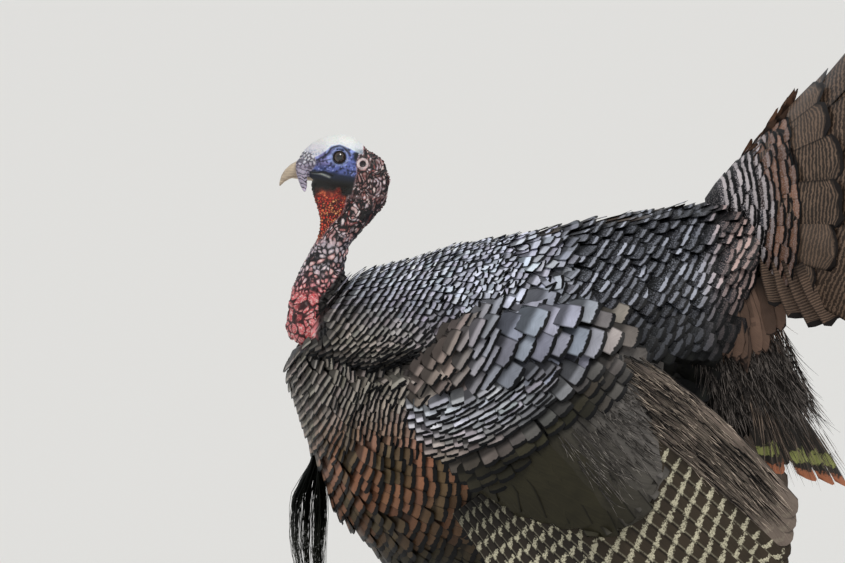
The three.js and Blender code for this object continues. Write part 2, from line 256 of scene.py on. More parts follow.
# Eyelids: a soft ring on each side, melted into the head.
LID_RADIUS = 0.0076
extras = []
for side, sign in SIDES.items():
    bpy.ops.object.select_all(action="DESELECT")
    ball_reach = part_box(f"eye_{side}")[0].y if sign < 0 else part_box(f"eye_{side}")[1].y
    bpy.ops.mesh.primitive_torus_add(
        major_radius=LID_RADIUS, minor_radius=0.0016, major_segments=40, minor_segments=10,
        location=(eye_x, ball_reach - sign * 0.0033, eye_z), rotation=(np.pi / 2, 0, 0))
    bpy.ops.object.transform_apply(location=True, rotation=True, scale=True)
    extras.append(bpy.context.object)

# The neck's root runs on into the trunk under the hackles, behind full wattles, and each shank
# runs on into its thigh.
wattle_low, wattle_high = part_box("wattles")
collar_x = wattle_high.x + 0.004
chin = round_piece("chin", Vector((eye_x - 0.0262, 0, eye_z - 0.0330)), (0.0085, 0.0060, 0.0085))
neck_foot = Vector((collar_x + 0.006, 0, wattle_low.z + 0.050))
swell = [chin, round_piece("neck_root", neck_foot, (0.032, 0.034, 0.056), (0, 0.25, 0))]
for sign in SIDES.values():
    lobe = Vector((wattle_low.x + 0.0285, sign * 0.021, wattle_low.z + 0.0235))
    swell.append(round_piece("wattle_lobe", lobe, (0.0215, 0.021, 0.0285), (0, 0.1, 0)))
flesh = melted("flesh", [node for node in HEAD_NODES if node != "snood"], 0.0024, 9, swell)
extras.append(flesh)
bare = melted("skin", ["snood"], HEAD_GRAIN, 8, extras)

extras = []
for side in SIDES:
    low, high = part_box(f"shank_{side}")
    ankle = Vector(((low.x + high.x) / 2, (low.y + high.y) / 2, high.z))
    extras.append(round_piece("ankle", ankle, (0.011, 0.009, 0.022)))
legs = melted("skin_legs", LEG_NODES, LEG_GRAIN, 3, extras)

# Where the neck's feathered root rests on the breast there is a deep fold on each side.
FOLD = [(-0.352, 0.549), (-0.322, 0.538), (-0.292, 0.533), (-0.262, 0.538), (-0.238, 0.548)]
trunk_form = melted("trunk_form", ["trunk"], COAT_GRAIN, 6)


def fold_depth(co):
    """How far the fold sinks each point, less where the feathers stand out over it."""
    fold = 0.013 * np.exp(-(to_line(FOLD, co[:, 0], co[:, 2]) / 0.009) ** 2)
    over = ease(0.0, 0.02, co[:, 2] - 0.548) * ease(0.60, 0.57, co[:, 2]) * ease(-0.20, -0.24, co[:, 0])
    return (fold - 0.005 * over) * ease(0.02, 0.035, np.abs(co[:, 1]))


def tree_of(piece):
    """A piece's faces as they are now, to be met by rays."""
    return BVHTree.FromObject(piece, bpy.context.evaluated_depsgraph_get())


smooth_tree = tree_of(trunk_form)
co, no = places(trunk_form), normals(trunk_form)
put_places(trunk_form, co - no * fold_depth(co)[:, None])
trunk_tree = tree_of(trunk_form)
bpy.data.objects.remove(trunk_form)
coat_form = melted("coat_form", COAT_NODES, COAT_GRAIN, 6)

# Under the feathers the skin lies in by the coat's depth, less so at the neck and at the ankle.
co, no = places(coat_form), normals(coat_form)
at_neck = ease(0.10, 0.0, co[:, 0] - trunk_low.x) * ease(0.30, 0.42, co[:, 2])
at_ankle = ease(0.235, 0.185, co[:, 2])
inset = COAT_DEPTH * (1 - 0.5 * at_neck) * (1 - at_ankle)
co = co - no * (inset + np.maximum(fold_depth(co), 0))[:, None]
above_breast = ease(wattle_low.z - 0.012, wattle_low.z + 0.004, co[:, 2])
co[:, 0] = np.where(co[:, 0] < collar_x, co[:, 0] + (collar_x - co[:, 0]) * above_breast, co[:, 0])
put_places(coat_form, co)

# Folds and pebbles of the head and neck. Sizes are millimetres from the middle of the eye,
# h to the rear and v upwards.
NAPE_FRONT = [(27, 13), (20.7, -6), (20.7, -21), (14.5, -47.5)]
THROAT_REAR = [(14.5, -33), (10.5, -45), (4.5, -67), (-11.5, -84), (-23.5, -101)]
BROW = [(-37, -10), (-25, -2), (-14.5, 3), (-10, 11), (-6, 12.4), (1, 14), (8, 10), (13, 2)]
LOWER_EYE = [(-29, -7), (-16.5, -4), (-8, -2)]
MOUTH = [(-38, -17.6), (-27, -19.6), (-18.6, -17.6), (-8.3, -22.7)]
JAW = [(-34, -20.7), (-21.7, -23.8), (-10.3, -28.9)]
CROWN_EDGE = [(-46, -6), (-31, -1), (-16.5, 7.2), (-10.3, 13.4), (1, 15.5), (14.5, 9.3), (27.9, 2)]
EAR = (27.9, -8.3)
snood_low, snood_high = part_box("snood")


def curved(points):
    """A broken line with its corners cut twice."""
    for _ in range(2):
        cut = [points[0]]
        for (ah, av), (bh, bv) in zip(points[:-1], points[1:]):
            for share in (0.75, 0.25):
                cut.append((share * ah + (1 - share) * bh, share * av + (1 - share) * bv))
        points = cut + [points[-1]]
    return points


BROW, MOUTH, LOWER_EYE, JAW = curved(BROW), curved(MOUTH), curved(LOWER_EYE), curved(JAW)


def zones(co):
    """How far each point belongs to each zone of the bare skin, 0 to 1."""
    h, v = (co[:, 0] - eye_x) * 1000, (co[:, 2] - eye_z) * 1000

    def behind(upright):
        """Distance to the rear of a line that runs down the head."""
        return h - np.interp(v, [down for _, down in upright[::-1]], [back for back, _ in upright[::-1]])

    on_head = ease(-52, -44, v)
    nape = ease(-1.5, 2.5, behind(NAPE_FRONT)) * on_head
    over_edge = v - np.interp(h, *zip(*CROWN_EDGE))
    crown = ease(-1.2, 1.6, over_edge) * ease(31, 27, h) * ease(-49, -46, h)
    nape *= 1 - crown
    throat = ease(2.0, -2.0, behind(THROAT_REAR)) * ease(-34, -38, v) * ease(-106, -98, v)
    near = 2.0
    snood = np.ones(len(co))
    for axis in (0, 2, 1):
        snood *= ease(near, 0, (snood_low[axis] - co[:, axis]) * 1000)
        snood *= ease(near, 0, (co[:, axis] - snood_high[axis]) * 1000)
    snood = np.maximum(snood, ease(13.5, 11.5, np.hypot(h + 41, v + 6)) * on_head)
    crown, nape = crown * (1 - snood), nape * (1 - snood)
    wattle = ease(-160, -166, v) * ease(-24, -27, h)
    below = 1 - on_head
    neck = np.maximum(below, nape) * (1 - throat) * (1 - snood)
    face = on_head * (1 - nape) * (1 - crown) * (1 - snood) * (1 - throat)
    return h, v, dict(nape=nape, crown=crown, throat=throat, snood=snood, wattle=wattle, neck=neck,
                      face=face)


def skin_cells(co, zone, v):
    """The edges and insides of the skin's pebbles, for its shape and for its colour."""
    mid, mid_own = pebbles(co, 0.0070, 21, 1.2, warp=0.25)
    curl, curl_own = pebbles(co, 0.0052, 22, 2.6, warp=0.6)
    fine, fine_own = pebbles(co, 0.0021, 23)
    small, small_own = pebbles(co, 0.0034, 24)
    large, large_own = pebbles(co, 0.0052, 25)
    high = ease(-120, -85, v)
    neck = mid * (1 - high) + curl * high
    neck_own = mid_own * (1 - high) + curl_own * high
    lump, lump_own = pebbles(co, 0.0125, 26, 1.1, warp=0.3)
    neck = neck * (1 - zone["wattle"]) + lump * zone["wattle"]
    neck_own = neck_own * (1 - zone["wattle"]) + lump_own * zone["wattle"]
    cell = neck * zone["neck"] + small * zone["throat"] + fine * (zone["face"] + zone["crown"])
    own = neck_own * zone["neck"] + small_own * zone["throat"] + fine_own * (zone["face"] + zone["crown"])
    cell = cell * (1 - zone["snood"]) + large * zone["snood"]
    own = own * (1 - zone["snood"]) + large_own * zone["snood"]
    return cell, own, fine, fine_own


def snood_rings(co, h, v, zone):
    """The hanging part of the snood, and how near each point is to the top of one of its rings."""
    ring = np.abs(np.sin(np.pi * v / 4.3 + 0.25 * h + 0.9 * ripple(co, 0.008, 62)))
    return zone["snood"] * ease(-10, -16, v), ring


co, no = places(bare), normals(bare)
h, v, zone = zones(co)
cell, own, fine, _ = skin_cells(co, zone, v)
upper_neck = ease(-150, -60, v)
rise = zone["neck"] * (1.5 + 0.3 * upper_neck) * (cell - 0.55) * (0.75 + 0.5 * own)
rise += zone["throat"] * 1.2 * (cell - 0.5)
rise += zone["face"] * 0.16 * (cell - 0.5)
rise += zone["crown"] * 0.22 * ripple(co, 0.011, 31)
rise += zone["wattle"] * (0.5 * (fine - 0.5) + 0.3 * (cell - 0.55))
finger, ring = snood_rings(co, h, v, zone)
rise += finger * 1.1 * (ease(0.0, 0.6, ring) - 0.8)
rise += (zone["snood"] - finger) * 0.9 * (cell - 0.6)
open_face = (1 - zone["snood"]) * (1 - zone["neck"])
for points, height, width in ((BROW, 0.55, 1.3), (MOUTH, -1.0, 0.8), (JAW, -0.5, 1.0),
                              (LOWER_EYE, -0.4, 0.8)):
    rise += open_face * height * np.exp(-(to_line(points, h, v) / width) ** 2)
over_brow = [(a, b + 2.0) for a, b in BROW]
rise += open_face * -0.45 * np.exp(-(to_line(over_brow, h, v) / 0.9) ** 2)
ear = np.hypot(h - EAR[0], v - EAR[1])
rise += 0.9 * np.exp(-((ear - 4.8) / 1.3) ** 2) - (1.6 + rise) * ease(4.2, 2.4, ear)
put_places(bare, co + no * rise[:, None] * 0.001)

# Scutes down the shanks and over the toes.
co, no = places(legs), normals(legs)
scute, _ = pebbles(co, 0.0042, 41, 0.8, axis=(0, 0, 1))
put_places(legs, co + no * (scute - 0.7)[:, None] * 0.0007)

skin = bare
for other in (legs, coat_form):
    alone(skin)
    union = skin.modifiers.new("union", "BOOLEAN")
    union.operation = "UNION"
    union.solver = "MANIFOLD"
    union.object = other
    bpy.ops.object.modifier_apply(modifier="union")
    bpy.data.objects.remove(other)
SKIN_TRIANGLES = 190000
thin = skin.modifiers.new("thin", "DECIMATE")
thin.ratio = min(1.0, SKIN_TRIANGLES / sum(len(face.vertices) - 2 for face in skin.data.polygons))
bpy.ops.object.modifier_apply(modifier="thin")
skin.data.materials.clear()
skin.data.polygons.foreach_set("material_index", np.zeros(len(skin.data.polygons), np.int32))
skin.data.polygons.foreach_set("use_smooth", np.ones(len(skin.data.polygons), bool))
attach(skin, "root")
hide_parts(*HEAD_NODES, *LEG_NODES, *COAT_NODES)


def rgb(red, green, blue):
    """A colour given as it looks, from 0 to 255, in the shader's own scale."""
    share = np.array([red, green, blue]) / 255
    return np.where(share < 0.04045, share / 12.92, ((share + 0.055) / 1.055) ** 2.4)


co = places(skin)
h, v, zone = zones(co)
neck, wattle, crown, snood = (zone[title] for title in ("neck", "wattle", "crown", "snood"))
cell, own, fine, fine_own = skin_cells(co, zone, v)
thin_line = neck * ease(-75, -105, v)
edge_end = 0.62 - 0.12 * neck * ease(-120, -85, v) - 0.14 * thin_line
edge = 1 - ease(0.10 - 0.05 * thin_line, edge_end, cell)
paint = np.tile(rgb(86, 98, 160), (len(co), 1))


def lay(share, *colour):
    """Lays a colour over the paint so far, by a share for each point."""
    global paint
    share = np.clip(share, 0, 1)[:, None]
    paint = paint * (1 - share) + rgb(*colour) * share


# Blue face, mottled dark and pale, that darkens towards the throat.
lay(0.8 * ease(-0.2, 0.8, ripple(co, 0.018, 53)), 44, 60, 120)
pale_dot = ease(0.45, 0.9, fine_own) * ease(0.2, 0.8, fine) * ease(-0.6, 0.8, ripple(co, 0.012, 54))
lay(0.6 * pale_dot, 158, 168, 224)
lay(0.6 * ease(-2, -16, h) * ease(-14, -6, v), 128, 118, 160)
lay(0.85 * ease(0.0, 0.8, ripple(co, 0.006, 57)), 30, 38, 76)
lay(0.6 * ease(0.2, 0.9, ripple(co, 0.009, 60)) * ease(-12, -6, v + 0.2 * h), 142, 156, 212)
lay(0.8 * ease(6, 16, v - 0.1 * h), 148, 160, 196)
lay(ease(-17.5, -23, v + 0.15 * h), 42, 58, 92)
lay(ease(-23, -33, v + 0.1 * h), 34, 35, 32)
LIP = [(-33, -19), (-22, -20), (-12, -24)]
lay(0.8 * np.exp(-(to_line(LIP, h, v) / 1.3) ** 2), 150, 152, 140)

# White crown, bluish where it meets the face.
lay(crown, 226, 230, 236)
lay(crown * 0.35 * ease(-8, -26, h), 214, 200, 208)
lay(crown * 0.5 * ease(12, 20, v), 238, 238, 226)
lay(crown * ease(6, 20, h) * ease(12, 2, v) * 0.6, 132, 178, 192)
lay(0.8 * crown * edge * ease(2, -3, v - 9), 150, 160, 190)

# Dark patch behind the eye, dark creases, and the rim of the eye.
behind_eye = np.hypot(h - 23, v - 0.5) + 1.5 * ripple(co, 0.008, 52)
lay(0.85 * ease(9.5, 2.5, behind_eye) * (1 - zone["nape"]), 22, 36, 42)
# The dark lines along the mouth, the jaw and under the eye lie in grooves and are painted shade, darkest
# along the mouth under the upper bill.
for points, width, strength in ((BROW, 1.3, 0.75), (LOWER_EYE, 0.9, 0.6), (MOUTH, 0.9, 0.95),
                                (JAW, 0.9, 0.5)):
    lay(strength * np.exp(-(to_line(points, h, v) / width) ** 2) * (1 - neck), 16, 18, 30)
lid = np.hypot(h, v)
lay(ease(11.2, 10.2, lid) * ease(8.4, 9.2, lid) * 0.7, 120, 132, 168)
lay(ease(8.6, 7.8, lid), 20, 20, 28)

# Red throat with orange grains.
red = zone["throat"] * ease(-33, -52, v + 4.0 * ripple(co, 0.012, 51) + 0.03 * (h + 13) ** 2)
lay(red, 222, 62, 40)
lay(red * ease(0.0, 0.9, ripple(co, 0.009, 55)) * 0.7, 118, 22, 22)
lay(red * ease(0.35, 0.9, own) * 0.9, 255, 142, 92)
# Painted shade in the grooves between the grains.
lay(red * ease(0.2, 0.8, edge) * 0.95, 74, 10, 14)

# Neck: whitish, flesh and red pebbles with dark gaps, redder towards the wattles.
upper, low = ease(-110, -60, v), ease(-130, -165, v)
lay(neck, 178, 166, 174)
lay(neck * ease(0.45, 0.8, own) * 0.8, 198, 138, 134)
lay(neck * upper * ease(0.2, 0.5, own) * ease(0.75, 0.5, own), 226, 218, 214)
lay(neck * upper * ease(0.72, 0.95, own), 164, 46, 38)
lay(neck * low, 190, 92, 96)
lay(neck * low * ease(0.5, 0.9, own) * 0.7, 214, 130, 128)
neck_middle = np.interp(co[:, 2], [0.60, 0.70, 0.76], [-0.332, -0.312, -0.283])
rear_neck = ease(0.004, 0.022, co[:, 0] - neck_middle)
# The rear of the lower neck by the feathers is darker red, partly its own colour and partly painted shade of
# the feathers.
lay(neck * rear_neck * (1 - upper) * 0.7, 78, 46, 46)
lay(neck * upper * ease(0.0, 0.8, ripple(co, 0.014, 58)) * 0.7, 66, 44, 44)
# Painted highlight on the middles of the pebbles, weaker at the rear of the lower neck.
lay(neck * ease(0.6, 0.95, cell) * (0.55 - 0.40 * rear_neck * (1 - upper)) * (1 - 0.4 * upper), 236, 216, 212)
lay(neck * upper * 0.40 * ease(-0.6, 0.6, ripple(co, 0.02, 63)), 132, 82, 72)
lay(neck * (1 - low) * 0.22, 40, 34, 40)
lay(neck * upper * ease(0.62, 0.30, cell) * 0.6, 156, 62, 50)
# Painted shade in the grooves between the pebbles, dark red low on the neck.
lay(neck * edge * 0.97, 18, 15, 20)
lay(neck * low * edge * 0.6, 96, 28, 34)

# Wattles in pink lumps with thin dark cracks.
crack = 1 - ease(0.02, 0.13, cell)
lay(wattle, 226, 108, 112)
lay(wattle * ease(0.3, 0.9, ripple(co, 0.012, 59)) * 0.45, 206, 58, 62)
lay(wattle * ease(0.45, 0.9, fine_own) * 0.75, 240, 168, 162)
# Painted shade, darker red where the fine grains meet and dark in the thin cracks between the lumps.
lay(wattle * ease(0.40, 0.05, fine) * 0.55, 150, 48, 54)
lay(wattle * crack * 0.95, 84, 16, 22)

# Snood: pale and pebbled at its root, ringed dark where it hangs. The ear has a pale rim.
lay(snood, 176, 166, 186)
finger, ring = snood_rings(co, h, v, zone)
lay((snood - finger) * ease(-12, -2, v), 222, 220, 228)
# Painted shade in the pits between the root's pebbles and in the grooves between the hanging rings.
lay((snood - finger) * ease(0.25, 0.9, edge) * 0.85, 52, 46, 66)
lay(finger * ease(0.62, 0.30, ring) * 0.95, 22, 19, 30)
ear = np.hypot(h - EAR[0], v - EAR[1])
lay(ease(7.6, 6.4, ear) * ease(3.4, 4.4, ear) * 0.8, 186, 170, 170)
lay(ease(4.4, 3.2, ear) * 0.9, 62, 56, 62)

# Painted highlight and shade on the moist bare skin: in each zone the paint's brightness is spread from the
# zone's mean, paler tops paler and darker hollows darker, and the zone is scaled by its level.
for part, level, gain in (("face", 0.66, 0.6), ("neck", 0.72, 0.5), ("throat", 0.92, 0.4),
                          ("wattle", 0.90, 0.2)):
    light = paint.mean(axis=1)
    middle = (light * zone[part]).sum() / zone[part].sum()
    change = level - 1 + gain * (light / middle - 1)
    paint *= np.clip(1 + zone[part] * change, 0.15, 1.7)[:, None]
paint = np.clip(paint, 0, 0.9)

# Shanks and toes are pinkish brown, and what the feathers hide is painted dark as shade.
below_ankle, above_ankle = ease(0.225, 0.200, co[:, 2]), ease(0.200, 0.225, co[:, 2])
lay(below_ankle, 150, 112, 100)
scute, scute_own = pebbles(co, 0.0042, 41, 0.8, axis=(0, 0, 1))
lay(below_ankle * (1 - ease(0.1, 0.6, scute)), 70, 46, 44)
lay(below_ankle * ease(0.5, 1.0, scute_own) * 0.4, 176, 140, 122)
shade_under_coat = ease(neck_low.x + 0.077, neck_low.x + 0.084, co[:, 0]) * ease(0.69, 0.68, co[:, 2])
shade_under_coat = np.maximum(shade_under_coat, ease(wattle_low.z + 0.001, wattle_low.z - 0.006, co[:, 2]))
lay(shade_under_coat * above_ankle, 24, 22, 21)

# Line at which the feathers begin, in the side view.
COLLAR = [(-0.296, 0.664), (-0.313, 0.647), (-0.331, 0.626), (-0.352, 0.600), (-0.3525, 0.580),
          (-0.353, 0.555)]
COLLAR_X, COLLAR_Z = (values[::-1] for values in zip(*COLLAR))
# The skin behind that line, where the feathers start, is painted dark as their shade.
collar_shade = ease(-0.002, 0.003, co[:, 0] - np.interp(co[:, 2], COLLAR_Z, COLLAR_X))
lay(collar_shade * ease(0.70, 0.68, co[:, 2]) * above_ankle * (1 - wattle), 26, 23, 23)

layer = skin.data.attributes.new("paint", "FLOAT_COLOR", "POINT")
layer.data.foreach_set("color", np.column_stack([paint, np.ones(len(paint))]).ravel())

skin_material, shader, add, feed = new_material("bare_skin")
painted = add("Attribute", attribute_name="paint")
place = add("TexCoord").outputs["Object"]
grain = add("TexNoise", {"Scale": 700.0, "Detail": 3.0, "Vector": place}).outputs["Fac"]
tone = add("MapRange", {"To Min": 0.72, "To Max": 1.22, "Value": grain})
mottle = add("VectorMath", {0: painted.outputs["Color"], "Scale": tone.outputs["Result"]}, operation="SCALE")
skin_bump = add("Bump", {"Strength": 0.45, "Distance": 0.0004, "Height": grain})
feed(shader, {"Base Color": mottle.outputs[0], "Roughness": 0.48, "Subsurface Weight": 0.08,
              "Subsurface Scale": 0.002, "Normal": skin_bump.outputs["Normal"]})
skin.data.materials.append(skin_material)


# ---------------------------------------------------------------- body feathers
# Contour feathers in rows from the collar at the neck to the rump. Each is a thin closed vane,
# square at the tip with a black band there, and its row lies over the next one like slates.
STATIONS = np.array([0.0, 0.25, 0.5, 0.72, 0.87, 0.96, 1.0])
ACROSS = np.array([-1.0, -0.6, 0.0, 0.6, 1.0])
VANE_THICKNESS = 0.0005
SMALL_CELL = (0.003, 0.003)
rng = np.random.default_rng(7)


def unit(vectors):
    return vectors / np.maximum(np.linalg.norm(vectors, axis=-1, keepdims=True), 1e-9)


def vane_faces(stations, across):
    """Faces of one closed vane: its top, then its underside along a middle line of its own."""
    last, middle, end = across - 1, across // 2, stations - 1
    top = np.arange(stations * across).reshape(stations, across).tolist()
    under = [None] + list(range(stations * across, stations * across + stations - 2)) + [None]
    faces = [[top[i][j], top[i][j + 1], top[i + 1][j + 1], top[i + 1][j]]
             for i in range(end) for j in range(last)]
    for i in range(1, end - 1):
        faces.append([top[i][0], top[i + 1][0], under[i + 1], under[i]])
        faces.append([under[i], under[i + 1], top[i + 1][last], top[i][last]])
    faces.append(top[0][middle::-1] + [top[1][0], under[1]])
    faces.append([under[1], top[1][last]] + top[0][last:middle - 1:-1])
    faces.append([under[end - 1], top[end - 1][0]] + top[end][:middle + 1])
    faces.append(top[end][middle:] + [top[end - 1][last], under[end - 1]])
    return faces


def fill(value, count):
    """A value for each feather, given one or one for each."""
    return np.broadcast_to(np.asarray(value, float), (count,))


def feather_mesh(name, point, face, thick, material, slot, net_uv, *, tint, patch, edge=(6, 6, 8),
                 mark=(0.9, 0, 0, 0), cell=SMALL_CELL):
    """One piece from many vanes. point holds each vane's net, count x stations x across x 3, and
    net_uv its shares across and along."""
    count, stations, across, _ = point.shape
    under = point[:, 1:-1, across // 2] - face * thick
    size = stations * across + stations - 2
    co = np.concatenate([point.reshape(count, -1, 3), under], axis=1).reshape(-1, 3)
    flat = np.stack(np.meshgrid((net_uv[0] + 1) / 2, net_uv[1]), axis=-1)
    flat = np.concatenate([flat.reshape(-1, 2), flat[1:-1, across // 2]])
    shapes = vane_faces(stations, across)
    mesh = bpy.data.meshes.new(name)
    mesh.from_pydata(co.tolist(), [], [[index + size * k for index in shape]
                                       for k in range(count) for shape in shapes])
    piece = bpy.data.objects.new(name, mesh)
    bpy.context.scene.collection.objects.link(piece)
    corners = np.empty(len(mesh.loops), np.int32)
    mesh.loops.foreach_get("vertex_index", corners)
    uv = np.tile(flat, (count, 1))
    mesh.uv_layers.new(name="Vane").data.foreach_set("uv", uv[corners].ravel())
    spot = np.repeat(np.asarray(patch), size, axis=0) + (uv - 0.5) * np.array(cell)
    mesh.uv_layers.new(name="OFBake").data.foreach_set("uv", spot[corners].ravel())
    for title, value, full in (("tint", tint, 3), ("edge", edge, 3), ("mark", mark, 4)):
        value = np.asarray(value, float)
        if value.ndim == 1 and full == 3 and value.max() > 1:
            value = rgb(*value)
        values = np.ones((count, 4))
        values[:, :full] = value
        layer = mesh.attributes.new(title, "FLOAT_COLOR", "POINT")
        layer.data.foreach_set("color", np.repeat(values, size, axis=0).ravel())
    alone(piece)
    bpy.ops.object.shade_smooth_by_angle(angle=np.radians(50))
    mesh.materials.append(material)
    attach(piece, "root")
    return piece


def vanes(name, root, along, face, length, width, material, slot, *, lift=0.2, bend=0.0, roll=0.0,
          camber=0.07, corner=0.08, waist=0.5, taper=0.0, ragged=0.012, small=False, **marks):
    """Many small feathers. along and face are each one's direction and upper side at its root."""
    count = len(root)
    along = unit(along)
    face = unit(face - along * (face * along).sum(1, keepdims=True))
    side = np.cross(face, along)
    length, width, start = (fill(value, count)[:, None, None] for value in (length, width, lift))
    turn = fill(bend, count)[:, None, None]
    turn = np.where(np.abs(turn) < 1e-3, 1e-3, turn)
    cos, sin = np.cos(fill(roll, count))[:, None], np.sin(fill(roll, count))[:, None]
    side, face = side * cos + face * sin, face * cos - side * sin
    stations = np.linspace(0, 1, 5) ** 0.85 if small else STATIONS
    across = np.linspace(-1, 1, 3) if small else ACROSS
    v = np.broadcast_to(stations[None, :, None], (count, len(stations), len(across)))
    u = np.broadcast_to(across[None, None, :], v.shape)
    reach = v * (1 - corner * np.abs(u) ** 2.5 * v ** 3)
    reach = reach * (1 + ragged * rng.standard_normal(v.shape) * (v > 0.9))
    broad = (waist + (1 - waist) * ease(0.0, 0.5, v)) * (1 - taper * v ** 1.5) * width / 2
    ahead = length * (np.sin(start) - np.sin(start - turn * reach)) / turn
    up = length * (np.cos(start - turn * reach) - np.cos(start)) / turn - camber * broad * u * u
    net = (root[:, None, None] + ahead[..., None] * along[:, None, None]
           + (broad * u)[..., None] * side[:, None, None] + up[..., None] * face[:, None, None])
    return feather_mesh(name, net, face[:, None], VANE_THICKNESS, material, slot, (across, stations), **marks)


def plumage(name, gloss=0.5, metal=0.12, barbs=46.0, wobble=0.10, pale=(186, 190, 204), skew=0.0,
            specks=False, wedge=0.0, root=(0.50, 0.66), line=(0.150, 0.03), blush=None):
    """Feather material: the tint with barbs, pale bars across, and a dark band at the tip. mark
    holds where the band starts, the number of bars, their strength, and the tip's pale line."""
    material, shader, add, feed = new_material(name)

    def math(kind, *values):
        return add("Math", dict(enumerate(values)), operation=kind).outputs[0]

    def mix(share, first, second, kind="MIX"):
        return add("Mix", {0: share, 6: first, 7: second}, data_type="RGBA", blend_type=kind).outputs[2]

    def step(low, high, value):
        return add("MapRange", {0: value, 1: low, 2: high}, interpolation_type="SMOOTHSTEP").outputs[0]

    def noise(scale, vector):
        return add("TexNoise", {"Vector": vector, "Scale": scale}).outputs["Fac"]

    split = add("SeparateXYZ", {0: add("UVMap", uv_map="Vane").outputs[0]})
    u, v = split.outputs[0], split.outputs[1]
    tint, edge, mark = (add("Attribute", attribute_name=title) for title in ("tint", "edge", "mark"))
    parts = add("SeparateColor", {0: mark.outputs["Color"]})
    band, bars, strength = parts.outputs[0], parts.outputs[1], parts.outputs[2]
    tip_line = mark.outputs["Alpha"]
    place = add("TexCoord").outputs["Object"]

    off_shaft = math("ABSOLUTE", math("SUBTRACT", u, 0.5))
    along_barbs = math("MULTIPLY", math("MULTIPLY_ADD", off_shaft, -0.5, v), barbs)
    barb = add("CombineXYZ", {0: along_barbs, 1: math("MULTIPLY", off_shaft, 2.5)})
    grain = noise(1.0, barb.outputs[0])
    blotch, patchy = noise(240.0, place), noise(45.0, place)

    height = math("ADD", v, math("MULTIPLY_ADD", blotch, wobble, -wobble / 2))
    slant = math("MULTIPLY_ADD", u, skew, height)
    wave = math("SINE", math("MULTIPLY", math("MULTIPLY", slant, bars), 2 * np.pi * 20))
    if wedge:
        wave = math("MULTIPLY_ADD", noise(420.0, place), 1.8, math("MULTIPLY_ADD", u, wedge, wave))
        wave = math("SUBTRACT", wave, wedge * 0.98 + 0.95)
    bar = math("MULTIPLY", step(0.05, 0.5, wave), strength)
    if wedge:
        hem = math("SUBTRACT", 0.28, math("MULTIPLY", step(0.93, 0.95, u), 0.28))
        hem = math("MULTIPLY", step(0.875, 0.905, u), hem)
        worn = math("MULTIPLY_ADD", step(0.53, 0.62, noise(700.0, place)), -0.75, 1.0)
        bar = math("MULTIPLY", math("MAXIMUM", bar, math("MULTIPLY", hem, strength)), worn)
    if specks:
        bar = math("MULTIPLY", step(0.53, 0.60, noise(640.0, place)), strength)
    pale = (*rgb(*pale), 1.0)
    if blush:
        along_bird = add("SeparateXYZ", {0: place}).outputs[0]
        pale = mix(step(*blush, along_bird), pale, (*rgb(206, 178, 172), 1.0))
    colour = mix(bar, tint.outputs["Color"], pale)
    shade = math("MULTIPLY", math("MULTIPLY_ADD", grain, 0.8, 0.62), math("MULTIPLY_ADD", patchy, 0.7, 0.65))
    # Painted shade: darker towards the root, where the feather above covers it, and along the edges of the
    # vane.
    shade = math("MULTIPLY", shade, math("MULTIPLY_ADD", step(*root, v), 0.82, 0.28))
    shade = math("MULTIPLY", shade, math("MULTIPLY_ADD", step(0.43, 0.5, off_shaft), -0.7, 1.0))
    tone = add("CombineColor", {0: shade, 1: shade, 2: shade})
    colour = mix(1.0, colour, tone.outputs[0], "MULTIPLY")
    before, after = (step(math("SUBTRACT", band, far), math("SUBTRACT", band, far - 0.02), height)
                     for far in line)
    across_tip = math("MULTIPLY", math("MULTIPLY", before, math("SUBTRACT", 1.0, after)), tip_line)
    colour = mix(across_tip, colour, pale)
    in_band = step(math("SUBTRACT", band, 0.015), math("ADD", band, 0.015), height)
    colour = mix(in_band, colour, edge.outputs["Color"])
    bump = add("Bump", {"Strength": 0.3, "Distance": 0.0005, "Height": grain})
    feed(shader, {"Base Color": colour, "Roughness": gloss, "Metallic": metal, "Specular IOR Level": 0.22,
                  "Normal": bump.outputs["Normal"]})
    return material


contour = plumage("contour_feathers", specks=True, blush=(0.100, 0.150))


def inside(outline, px, pz):
    """Whether points of the side view lie within an outline, whatever their depth."""
    within = np.zeros(np.shape(px), bool)
    for (ax, az), (bx, bz) in zip(outline, outline[1:] + outline[:1]):
        with np.errstate(divide="ignore", invalid="ignore"):
            cross = ax + (pz - az) * (bx - ax) / (bz - az)
        within ^= ((az > pz) != (bz > pz)) & (px < cross)
    return within


# Side-view outlines of the fine-feathered mantle and of the wing's coverts.
MANTLE = [(-0.316, 0.66), (-0.235, 0.70), (-0.155, 0.70), (-0.107, 0.638), (-0.167, 0.602),
          (-0.215, 0.560), (-0.257, 0.534), (-0.36, 0.545)]
COVERTS = [(-0.236, 0.511), (-0.236, 0.482), (-0.214, 0.446), (-0.152, 0.410), (-0.001, 0.484),
           (0.043, 0.528), (-0.011, 0.566), (-0.059, 0.602), (-0.107, 0.617), (-0.167, 0.602),
           (-0.214, 0.560)]

# The rows lie in planes that fan out from a line above the tail.
ROW_AXIS = Vector((trunk_high.x + 0.060, 0.0, trunk_high.z + 0.624))
FIRST_ROW, LAST_ROW, ROW_STEP = 52.4, 87.0, 0.21
RAYS = 96


